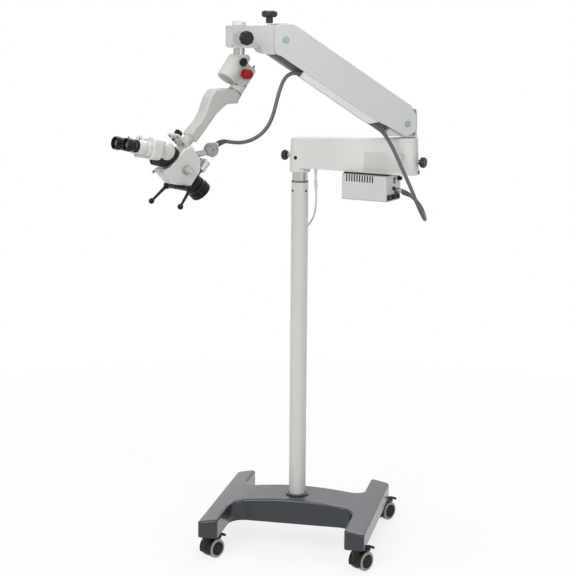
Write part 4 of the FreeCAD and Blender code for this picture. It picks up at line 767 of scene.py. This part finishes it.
fittings = two_part("fittings_black_and_white",
                    lambda f: f.along((0, 0, 0), heading(SWING, (1, 0, 0))).under(0.2),
                    (0.02, 0.02, 0.021), (0.66, 0.66, 0.64), rough=(0.42, 0.38))
guide_socket = two_part("guide_socket_metal",
                        lambda f: f.along(metres(SWING, GUIDE_PORT), heading(SWING, (1, 0, 0))).over(0.0035),
                        (0.02, 0.02, 0.021), (0.60, 0.58, 0.53), rough=(0.4, 0.26), metal=(0, 1))
shaft_steel = two_part("swivel_steel_and_cap", lambda f: f.along((0, 0, 0), (0, 0, 1)).over(1.9584),
                       (0.42, 0.42, 0.405), (0.66, 0.665, 0.66), rough=(0.16, 0.3), metal=(1, 0))
mag_finish = two_part("magnification_knob",
                      lambda f: f.radial(metres(SCOPE, (0, 0, 0)), heading(SCOPE, (0, 1, 0))).under(0.0085),
                      (0.40, 0.40, 0.38), (0.30, 0.30, 0.30), rough=(0.35, 0.2), metal=(0, 1))


def stem_and_cap(name, place, point, direction, reach):
    """Lobed plastic cap on a bright stem, divided at a height along the stem."""
    def mask(finish):
        return finish.along(metres(place, point), heading(place, direction)).under(reach * MM)

    return two_part(name, mask, BLACK, (0.55, 0.55, 0.54), rough=(0.38, 0.24), metal=(0, 1))


node_finishes = dict(
    base_casting=base_enamel(),
    column_tube=paint("column_paint", (0.60, 0.60, 0.57), gloss=0.33, coat=0.25),
    column_fasteners=black_steel,
    column_spigot=collar_steel(),
    swing_arm_cover=paint("warm_white_paint", (0.65, 0.655, 0.62)),
    swing_arm_beam=beam_paint,
    swing_lock_knob=stem_and_cap("swing_lock", SWING, (-45, 0, 1479), (-1, 0, 0), 3),
    turret_lock_knob=stem_and_cap("turret_lock", SWING, (475, 0, 1484), (1, 0, 0), 3),
    light_box_case=lamp_box_finish(),
    light_box_panel=paint("panel_blue_grey", (0.63, 0.655, 0.675), gloss=0.4),
    power_switch=red_plastic,
    dimmer_knob=knob_black,
    cable_fittings=fittings,
    lamp_module=bright_steel,
    light_guide_socket=guide_socket,
    turret_bracket=beam_paint,
    spring_arm_cover=paint("arm_grey_paint", (0.56, 0.56, 0.555), gloss=0.33),
    cable_channel=channel_paint,
    balance_spring=black_steel,
    pivot_pins=pin_blue,
    lower_link=satin_metal("link_grey", (0.30, 0.30, 0.30), gloss=0.4, metallic=0.6),
    front_yoke=paint("yoke_paint", (0.535, 0.54, 0.525), gloss=0.34),
    yoke_lock_knob=stem_and_cap("yoke_lock", SPRING, (524, 0, 1958), (0, 0, 1), 8),
    shaft_lock_knob=knob_black,
    swivel_shaft=shaft_steel,
    coupling_body=paint("coupling_paint", (0.50, 0.505, 0.475), gloss=0.36),
    coupling_knob=red_plastic,
    tension_knob=knob_black,
    offset_arm=paint("offset_arm_paint", (0.46, 0.465, 0.43), gloss=0.42),
    # Painted shade: the bracket has the head's paint, made darker for the shade on its face
    head_bracket=paint("bracket_paint_darkened_as_shade", (0.52, 0.525, 0.50), gloss=0.36),
    bracket_knob=knob_black,
    microscope_body=paint("head_white_paint", (0.60, 0.605, 0.575), gloss=0.34),
    magnification_knob=mag_finish,
    head_light_socket=drum_grey,
    focus_housing=fine_black,
    objective_unit=fine_black,
    objective_lens=coated_glass("objective_coating", (0.05, 0.07, 0.11)),
    focus_knob=focus_silver,
    tube_mount=soft_black,
    binocular_joint=tube_paint,
    handle_bar=knob_black,
)
for tag, x, y in CASTERS:
    node_finishes["caster_" + tag + "_housing"] = caster_black
    node_finishes["caster_" + tag + "_lever"] = caster_black
    node_finishes["caster_" + tag + "_wheels"] = wheel_finish(tag, x, y)
for side, _ in SIDES:
    node_finishes["prism_housing_" + side] = tube_paint
    node_finishes["eyepiece_" + side] = fine_black

for name, finish in node_finishes.items():
    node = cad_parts[name]
    node.data.materials.clear()
    node.data.materials.append(finish)


# Slot and finish of the small metal pieces
BLACK_FASTENER = ("fastener_steel", black_steel)
BRIGHT_FASTENER = ("fastener_steel", bright_steel)


def cap_screws(name, size, spots, way, place, body, finish):
    """A set of alike cap screws: size is radius, height and the socket's reach."""
    heads = [pointed(hex_screw("head", *size), spot, way) for spot in spots]
    settle(gather(name, heads), place, body, "fastener_steel", finish)


# Stand
def stand_trim():
    ring = turned("column_ring", [
        (29.0, 1384.2), (31.2, 1384.2), (31.9, 1385.2), (31.9, 1387.4), (31.2, 1388.4), (29.0, 1388.4)], 64)
    settle(ring, STAND, "stand", "fastener_steel", brass_dark)
    clear_selection()
    bpy.ops.mesh.primitive_torus_add(major_radius=33.75, minor_radius=1.9, major_segments=72,
                                     minor_segments=12, location=(0, 0, 185.3))
    settle(named("column_foot_seal"), STAND, "stand", "fittings_black", soft_black)
    grommet = turned("mains_grommet", [
        (4.6, -1.0), (7.6, -1.0), (8.0, 0.6), (7.4, 2.4), (5.8, 3.4), (4.6, 2.6)], 32)
    settle(pointed(grommet, (0, 31.2, 1172), (0, 1, 0)), STAND, "stand", "fittings_black", soft_black)


def column_screws():
    """Set screws that hold the spigot, standing a little proud of the tube."""
    heads = []
    for degrees in (-32.1, -134.8, 96.6):
        way = turn(degrees, "Z") @ Vector((1, 0, 0))
        heads.append(pointed(hex_screw("head", 4.6, 1.7, 2.2), way * 31.2 + Vector((0, 0, 1352)), way))
    settle(gather("column_set_screws", heads), STAND, "stand", *BLACK_FASTENER)


def caster_hubs(tag, x, y):
    """Ribbed cap on the outer face of each wheel, the lever's pad and its pin heads."""
    prefix = "caster_" + tag
    place = caster_frame(x, y)
    caps = []
    for side in (-1, 1):
        cap = turned("hub_cap", [
            (0, 0.9), (5.0, 0.9), (6.2, 0.4), (13.2, 0.5), (14.2, -0.2), (21.5, -0.3), (22.6, 0.8),
            (24.6, 1.0), (25.0, 0.2), (25.0, -0.8), (0, -0.8)])
        ribs = [placed(brick("rib", (14.5, -0.9, -0.5), (22.5, 0.9, 0.6), 0.3), turn(36 * k, "Z"))
                for k in range(10)]
        cap = gather("hub_cap", [cap] + ribs)
        caps.append(pointed(cap, (WHEEL_CENTRE[0], side * 27.9, WHEEL_CENTRE[2]), (0, side, 0)))
    settle(gather(prefix + "_hub_caps", caps), place, prefix + "_roller", "caster_plastic", caster_black)
    pad = brick("pad", (57.5, -13.5, 78.0), (80.5, 13.5, 80.6), 1.1, 3)
    bars = [brick("bar", (x, -11.5, 80.0), (x + 1.8, 11.5, 81.6), 0.6) for x in (64, 68.5, 73)]
    lip = brick("lip", (77.0, -14.0, 68.5), (84.0, 14.0, 76.0), 2.4, 3)
    cover = gather("pad", [pad] + bars)
    placed(cover, shift(60, 0, 78.5) @ turn(17, "Y") @ shift(-60, 0, -78.5))
    cover = gather(prefix + "_lever_pad", [cover, lip])
    settle(cover, place, prefix + "_pedal", "caster_plastic", caster_black)
    heads = []
    for side in (-1, 1):
        head = turned("pin_head", [(0, 1.6), (2.6, 1.4), (3.6, 0.6), (3.6, 0), (0, 0)], 20)
        heads.append(pointed(head, (58, side * 10.4, 70), (0, side, 0)))
    settle(gather(prefix + "_pin_heads", heads), place, prefix + "_pedal", *BLACK_FASTENER)


# Swing arm and lamp box
ARM_FACE = 38.5
ARM_DRAFT = 0.0448
ARM_BOTTOM = 1438


def arm_face(z):
    """Depth of the swing arm's front face at a height."""
    return ARM_FACE - ARM_DRAFT * (z - ARM_BOTTOM)


def swing_arm_trim():
    lean = math.degrees(math.atan(ARM_DRAFT))
    plug_place = shift(1, -arm_face(1475), 1475) @ turn(90 - lean, "X")
    plug_cap = turned("arm_face_plug", [
        (0, 2.4), (2.6, 2.2), (5.0, 1.5), (6.6, 0.9), (7.2, 0.2), (7.2, -0.4), (0, -0.4)], 32)
    settle(placed(plug_cap, plug_place), SWING, "swing_arm", "knob_black", knob_black)
    plate = brick("arm_blank_plate", (-78, -34, 0.0), (78, 34, 0.5), 0.2)
    plate_place = shift(357, -arm_face(1480), 1480) @ turn(90 - lean, "X")
    settle(placed(plate, plate_place), SWING, "swing_arm", "box_paint", plate_finish)
    stop = brick("arm_end_stop", (-3, -5, -6), (3.4, 5, 6), 1.4, 3)
    settle(placed(stop, shift(472.6, 9, 1447) @ turn(14, "Z")), SWING, "swing_arm", "knob_black", soft_black)
    strip = brick("lamp_box_gasket", (206, -52, 1433.1), (377, 52, 1437.9), 0.8)
    settle(strip, SWING, "swing_arm", "fittings_black", soft_black)
    spots = [(380, y, z) for y in (-50, 50) for z in (1370, 1427)]
    cap_screws("panel_screws", (2.6, 1.6, 1.2), spots, (1, 0, 0), SWING, "swing_arm", bright_steel)
    heads = []
    for x in (213, 370):
        for side in (-1, 1):
            head = turned("head", [(0, 1.3), (1.6, 1.1), (2.7, 0.3), (2.7, 0), (0, 0)], 20)
            heads.append(pointed(head, (x, side * 58, 1352), (0, side, 0)))
    settle(gather("case_screws", heads), SWING, "swing_arm", *BRIGHT_FASTENER)


def inlet_detail():
    """Socket, fuse drawer and blades on the black block under the panel."""
    face = 383
    frame_ring = brick("inlet_frame", (face - 0.5, -46, 1346.5), (face + 2.2, -14, 1362.5), 1.0)
    carve(frame_ring, brick("tool", (face - 2, -43.5, 1348.5), (face + 4, -16.5, 1360.5)))
    blades = [brick("blade", (face - 0.5, y - 0.5, 1351.5), (face + 1.6, y + 0.5, 1357.5), 0.2)
              for y in (-37, -30, -23)]
    drawer = brick("drawer", (face - 0.5, -8, 1347), (face + 3.2, 12, 1362), 1.0)
    lip = brick("lip", (face + 3, -2, 1350), (face + 4.6, 6, 1353), 0.6)
    outlet = turned("outlet", [
        (0, 1.0), (4.5, 1.0), (5.0, 3.4), (7.2, 3.4), (7.8, 2.6), (7.8, -0.5), (0, -0.5)], 32)
    pointed(outlet, (face, 32, 1354.5), (1, 0, 0))
    sockets = gather("inlet_sockets", [frame_ring, drawer, lip, outlet])
    settle(sockets, SWING, "swing_arm", "fittings_black", soft_black)
    settle(gather("inlet_blades", blades), SWING, "swing_arm", *BRIGHT_FASTENER)


def sleeve(name, path, start, end, inner, bend, ribs, body, finish):
    """Ribbed sleeve on a cord, flared at its start; ribs are height, pitch, width and first place."""
    height, pitch, width, first = ribs

    def radius(distance):
        flare = 0.0030 * max(0.0, 1 - distance / (end - start)) ** bend
        return inner + flare + (height if (distance * 1000) % pitch < width and distance > first else 0.0)

    piece = hose(name, stretch_of(path, start, end), radius, 28)
    piece.data.materials.append(finish)
    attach(piece, body)


def guide_ends():
    """Ferrules, grommets and tapered sleeves at the ends of the light guides and the mains cable."""
    nut = ridged("nut", 10.2, 8.5, 15.5, 28, 0.5)
    carve(nut, drum("tool", 7.0, 0, 20, 40))
    collar = turned("box_guide_nut", [
        (7.0, 2.0), (9.4, 2.0), (9.4, 16.5), (8.6, 17.3), (8.6, 27.0), (8.0, 27.8), (7.0, 27.8)], 40)
    nut = gather("box_guide_nut", [collar, nut])
    settle(pointed(nut, GUIDE_PORT, (1, 0, 0)), SWING, "swing_arm", "head_metal", bright_steel)
    for name, path, start, end, body in (
            ("box_guide_sleeve", lower_line, 0.016, 0.046, "swing_arm"),
            ("channel_front_sleeve", upper_line, 0.0, 0.016, "spring_arm"),
            ("head_guide_sleeve", upper_line[::-1], 0.0, 0.034, "head")):
        sleeve(name, path, start, end, 0.0066, 0.6, (0.0006, 5, 2.6, 0.004), body,
               sleeve_grey)
    sleeve("mains_boot", mains_line, 0.0, 0.036, 0.0038, 1.0, (0.0007, 4, 2.2, 0.003), "swing_arm",
           cable_sheath)


# Spring arm, yoke and coupling
def yoke_trim():
    end = 666
    spots = [(end - 0.2, y, z) for z in (1950, 1893) for y in (-30, 30)]
    cap_screws("yoke_end_screws", (2.6, 0.8, 1.4), spots, (1, 0, 0), SPRING, "yoke", black_steel)
    rim = turned("shaft_cap_rim", [
        (18.5, 1972.6), (21.2, 1972.5), (22.2, 1971.8), (22.2, 1970.8), (18.5, 1970.8)], 56)
    hub = slot_screw("hub", 6.5, 2.4)
    rim = gather("shaft_cap_trim", [rim, placed(hub, shift(0, 0, 1972.4))])
    settle(rim, HEAD, "coupling", "turned_steel", bright_steel)
    discs = []
    for s, z in LIFT_PIVOTS:
        for side in (-1, 1):
            disc = turned("disc", [
                (0, 0.5), (7.6, 0.5), (8.0, 0.9), (9.6, 0.9), (10.0, 0.4), (10.0, -0.2), (0, -0.2)], 40)
            discs.append(pointed(disc, (s, side * 44.5, z), (0, side, 0)))
    settle(gather("pivot_cap_faces", discs), SPRING, "spring_arm", "pin_blue", pin_blue)


def channel_ends():
    """White plug that closes the cable channel's front end round the guide."""
    (s, z), (front_s, front_z) = LIFT_PIVOTS
    lean = math.degrees(math.atan2(front_z - z, front_s - s))
    along = shift(s, 0, z) @ turn(-lean, "Y")
    front = brick("channel_front_plug", (421.0, 0.4, -72.8), (425.0, 37.4, -54.4), 1.5)
    settle(placed(front, along), SPRING, "spring_arm", "channel_white", channel_paint)


def coupling_trim():
    cap = turned("coupling_end_cap", [(0, 0.6), (26.5, 0.6), (27.6, 0.2), (28.2, -0.6), (0, -0.6)], 72)
    # The end cap's darker paint is painted shade
    settle(pointed(cap, (85.0, 0, 0), (1, 0, 0)), COUPLING, "coupling", "arm_paint", end_face_shade_paint)
    ring = turned("coupling_seam_ring", [(24.2, 97.1), (25.4, 97.3), (25.4, 99.4), (24.2, 99.6)], 72)
    settle(placed(ring, shift(0, 0, -55) @ turn(90, "Y")), COUPLING, "coupling", "turned_steel", black_steel)
    grub = hex_screw("grub", 3.0, 0.6, 1.5)
    pointed(grub, (66, 24.8, -62), (0, 1, 0))
    second = slot_screw("second", 4.2, 1.0)
    pointed(second, (-6, 24.6, -52), (0, 1, 0))
    settle(gather("coupling_screws", [grub, second]), COUPLING, "coupling", *BLACK_FASTENER)
    face = turned("red_knob_face", [
        (0, 0.3), (5.6, 0.3), (6.0, 1.4), (8.0, 1.4), (8.4, 0.3), (11.2, 0.3), (11.8, 1.8), (14.4, 1.8),
        (15.0, 1.0), (15.0, -0.4), (0, -0.4)])
    settle(pointed(face, RED_KNOB_FACE, (0, 1, 0)), COUPLING, "coupling_screw", "signal_red", red_plastic)
    seat = turned("red_knob_seat", [(9.2, 0.3), (11.0, 0.3), (11.0, 0.7), (9.2, 0.7)])
    pointed(seat, RED_KNOB_FACE, (0, 1, 0))
    settle(seat, COUPLING, "coupling_screw", *BLACK_FASTENER)


# Head
def handle_grips():
    """Tapered sleeves on the two handle rods, with a collar where each rod leaves its boss."""
    for name, side in SIDES:
        root = Vector((37, side * 66, 48))
        rod = Vector((0, side * 18, 72))
        length = rod.length
        grip = turned("handle_grip_" + name, [
            (2.0, 6.0), (6.2, 6.0), (6.8, 7.0), (6.8, 14.0), (6.0, 15.2), (5.4, 16.0), (5.0, length * 0.45),
            (4.4, length - 16.0), (4.0, length - 15.0), (2.0, length - 15.0)], 32)
        settle(pointed(grip, root, rod), SCOPE, "head", "knob_black", knob_black)


def head_trim():
    spots = [(a, y, -58.1) for a in (-94, -62) for y in (-22, 22)]
    cap_screws("bracket_screws", (3.4, 2.0, 1.7), spots, (0, 0, 1), SCOPE, "head", black_steel)
    trim = brick("body_side_plate", (30, -21, -76), (40, 21, -44), 2.0)
    settle(trim, SCOPE, "head", "head_black", drum_grey)
    screws = []
    for a, y in ((-60, 20), (-60, -20)):
        body = ridged("clamp", 4.6, 0, 7, 16, 0.4)
        tip = lathe("tip", [(0, 0), (2.4, 0), (2.4, -4), (0, -4)], 20)
        screws.append(pointed(gather("clamp", [body, tip]), (a, y, 66), (-0.5, 0, 1)))
    settle(gather("tube_clamp_screws", screws), SCOPE, "head", "head_metal", bright_steel)
    ring = turned("knob_inset", [
        (0, 0.3), (5.6, 0.3), (6.4, 1.1), (8.0, 1.1), (8.4, 0.5), (8.4, -0.4), (0, -0.4)], 40)
    faces = [pointed(ring, (0, 58.3, 0), (0, 1, 0))]
    faces.append(copied(faces[0], turn(180, "X")))
    settle(gather("magnification_faces", faces), SCOPE, "magnification", "head_metal", bright_steel)
    skirt = turned("skirt", [
        (13.6, 3.2), (15.2, 3.2), (15.8, 4.0), (15.8, 5.2), (15.2, 6.0), (13.6, 6.0)])
    skirts = [pointed(skirt, (0, 34.3, 0), (0, 1, 0))]
    skirts.append(copied(skirts[0], turn(180, "X")))
    settle(gather("magnification_skirts", skirts), SCOPE, "magnification", "head_metal", knob_grey)
    tip = turned("focus_tip", [(0, 1.2), (10.5, 1.2), (11.5, 0.4), (13.0, 0.4), (13.4, -0.4), (0, -0.4)])
    settle(pointed(tip, (63, 0, -87.8), (0, 0, -1)), SCOPE, "focus", "head_metal", focus_silver)


def light_drum():
    """Fibre inlet of the head: a neck from the body to a flat drum, with the guide's nut on its rim."""
    centre = Vector(DRUM_CENTRE)
    shell = lathe("light_drum", [
        (0, -13.0), (20.0, -13.0), (22.0, -11.6), (22.0, 3.4), (22.6, 4.2), (23.6, 4.8), (24.0, 5.6),
        (24.0, 11.4), (23.2, 12.8), (21.4, 13.0), (20.8, 12.3), (5.0, 12.3), (4.4, 12.9), (0, 12.9)], 72)
    pointed(shell, centre, (0, 1, 0))
    rise = math.atan2(10, 60)
    way = Vector((math.sin(rise), 0, -math.cos(rise)))
    root = Vector((-16 + 24 * math.cos(rise), 0, -70 + 24 * math.sin(rise)))
    neck_end = Vector((48, 0, -119))
    reach = (neck_end - root).length
    neck = lathe("neck", [
        (0, 0), (12.0, 0), (12.4, 0.8), (12.4, 5.4), (11.6, 6.2), (10.0, 6.6), (10.0, 16.0),
        (10.8, 16.8), (10.8, 21.0), (10.0, 21.8), (10.0, reach - 12), (8.0, reach), (0, reach)])
    pointed(neck, root, neck_end - root)
    flange = lathe("flange", [(0, 0), (12.4, 0), (12.4, 5.0), (11.4, 6.0), (0, 6.0)])
    pointed(flange, root, way)
    settle(shell, SCOPE, "head", "head_metal", drum_grey)
    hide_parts("head_light_socket")
    settle(gather("drum_neck", [neck, flange]), SCOPE, "head", "head_metal", neck_steel)
    start = Vector((47, 0, -139))
    mouth = Vector((54.9, 0, -157.3))
    length = (mouth - start).length
    nose = lathe("nose", [
        (0, 6.0), (9.6, 6.0), (9.6, 9.0), (8.4, 9.8), (8.4, length + 1.0), (7.6, length + 1.8),
        (0, length + 1.8)], 40)
    nut = ridged("nut", 9.2, 10.6, 16.4, 24, 0.6)
    carve(nut, drum("tool", 8.0, 8, 20, 40))
    nut = pointed(gather("drum_guide_nut", [nose, nut]), start, mouth - start)
    settle(nut, SCOPE, "head", "head_metal", bright_steel)
    screws = [pointed(slot_screw("screw", 3.0, 1.2), centre + Vector((0, 12.2, 0)), (0, 1, 0))]
    for a in (60, 180, 300):
        spot = centre + Vector((15 * math.cos(math.radians(a)), 12.2, 15 * math.sin(math.radians(a))))
        screws.append(pointed(hex_screw("screw", 1.7, 0.9, 0.9), spot, (0, 1, 0)))
    settle(gather("drum_screws", screws), SCOPE, "head", *BLACK_FASTENER)


def binocular_trim():
    caps = []
    for side in (-1, 1):
        cap = lathe("dome", [
            (0, 9.4), (7.0, 9.0), (13.5, 7.6), (19.5, 5.0), (24.0, 1.4), (26.8, -3.0), (28.3, -7.5),
            (29.3, -11.0), (29.3, -12.0), (26.0, -12.0), (0, -12.0)], 64)
        caps.append(pointed(cap, (0, side * 34.6, 0), (0, side, 0)))
    settle(gather("hinge_domes", caps), TUBES, "binocular", "arm_paint", tube_paint, sharp=60)
    for name, side in SIDES:
        y = side * 32.5
        axis = shift(0, y, 0) @ turn(90, "Y")
        lens = lathe("ocular_" + name, [
            (0, 3.4), (5.0, 3.1), (9.0, 2.2), (12.0, 0.8), (12.0, 0), (0, 0)])
        settle(pointed(lens, (159.0, y, 0), (1, 0, 0)), TUBES, "tube_" + name, "lens_glass", eye_coat)
        tube = turned("tube_sleeve_" + name, [
            (18.0, 93.4), (21.2, 93.4), (22.0, 94.2), (22.0, 110.0), (21.2, 111.0), (21.2, 121.5),
            (20.6, 122.4), (18.0, 122.4)], 56)
        settle(placed(tube, axis), TUBES, "tube_" + name, "head_metal", tube_paint)
        band = ridged("band", 19.9, 124.0, 135.0, 36, 0.55)
        carve(band, drum("tool", 18.0, 100, 140, 48))
        cup_rings = [turned("cup", [(20.8, x), (21.5, x + 0.5), (21.5, x + 1.9), (20.8, x + 2.4)], 56)
                     for x in (148.5, 153.5, 158.5)]
        band = gather("diopter_band_" + name, [band] + cup_rings)
        settle(placed(band, axis), TUBES, "tube_" + name, "head_black", soft_black)
        marks = turned("mark", [(18.6, 122.5), (20.4, 122.5), (20.4, 123.3), (18.6, 123.3)], 64)
        second = turned("mark", [(18.2, 135.4), (18.9, 135.4), (18.9, 136.3), (18.2, 136.3)], 64)
        marks = gather("ring_marks_" + name, [marks, second])
        settle(placed(marks, axis), TUBES, "tube_" + name, "arm_paint", bright_steel)
        stem = lathe("eye_lock_" + name, [
            (0, 0), (1.5, 0), (1.5, 3.2), (2.6, 3.8), (2.9, 5.2), (2.2, 6.4), (0, 6.8)], 24)
        settle(pointed(stem, (116, y, 20.4), (0, 0, 1)), TUBES, "tube_" + name, "head_black", knob_black)


stand_trim()
column_screws()
for tag, x, y in CASTERS:
    caster_hubs(tag, x, y)
swing_arm_trim()
inlet_detail()
guide_ends()
yoke_trim()
channel_ends()
coupling_trim()
handle_grips()
head_trim()
light_drum()
binocular_trim()


# Room
def seen_directly(tree):
    """1 for rays from the camera, off mirrors and through glass."""
    rays = tree.nodes.new("ShaderNodeLightPath")
    seen = Wire(tree, rays.outputs["Is Camera Ray"]) + Wire(tree, rays.outputs["Is Glossy Ray"])
    return (seen + Wire(tree, rays.outputs["Is Transmission Ray"])).over(0.5)


def make_floor():
    clear_selection()
    bpy.ops.mesh.primitive_plane_add(size=60, location=(0, 0, 0))
    floor = named("floor")
    finish = Finish("pale_floor", Base_Color=(0.92, 0.92, 0.92, 1), Roughness=0.9)
    reach = finish.vector("LENGTH", finish.place, None, "Value")
    away = reach.maths("MINIMUM", reach / 3.0, 1.0)
    share = seen_directly(finish.tree) * (0.78 + 0.22 * away)
    lit = Wire(finish.tree, finish.shader.outputs[0])
    glow = finish.node("ShaderNodeEmission", Color=(1, 1, 1, 1))
    blend = finish.node("ShaderNodeMixShader", in0=share, in1=lit, in2=glow)
    plug(finish.tree, finish.tree.nodes["Material Output"].inputs["Surface"], blend)
    floor.data.materials.append(finish.material)


def make_sky():
    world = bpy.data.worlds.new("room")
    bpy.context.scene.world = world
    world.use_nodes = True
    tree = world.node_tree
    seen = seen_directly(tree)
    tree.nodes["Background"].inputs["Color"].default_value = (1, 1, 1, 1)
    plug(tree, tree.nodes["Background"].inputs["Strength"], 0.38 + seen * 0.62)


def lamp(name, place, target, size, watts):
    data = bpy.data.lights.new(name, "AREA")
    data.shape = "DISK"
    data.size = size
    data.energy = watts
    light = linked(name, data)
    light.location = place
    light.rotation_mode = "QUATERNION"
    light.rotation_quaternion = (Vector(target) - Vector(place)).to_track_quat("-Z", "Y")


make_floor()
make_sky()
lamp("key", (-1.6, -4.0, 3.6), (0.0, -0.3, 1.1), 2.4, 104)
lamp("overhead", (0.1, -0.5, 3.7), (0.0, -0.1, 0.0), 1.0, 24)
lamp("fill", (3.2, -3.4, 2.6), (0.0, -0.2, 1.1), 1.6, 40)
lamp("back", (0.5, 3.2, 3.8), (0.0, 0.0, 1.0), 2.0, 60)
bpy.context.scene.view_settings.view_transform = "Standard"
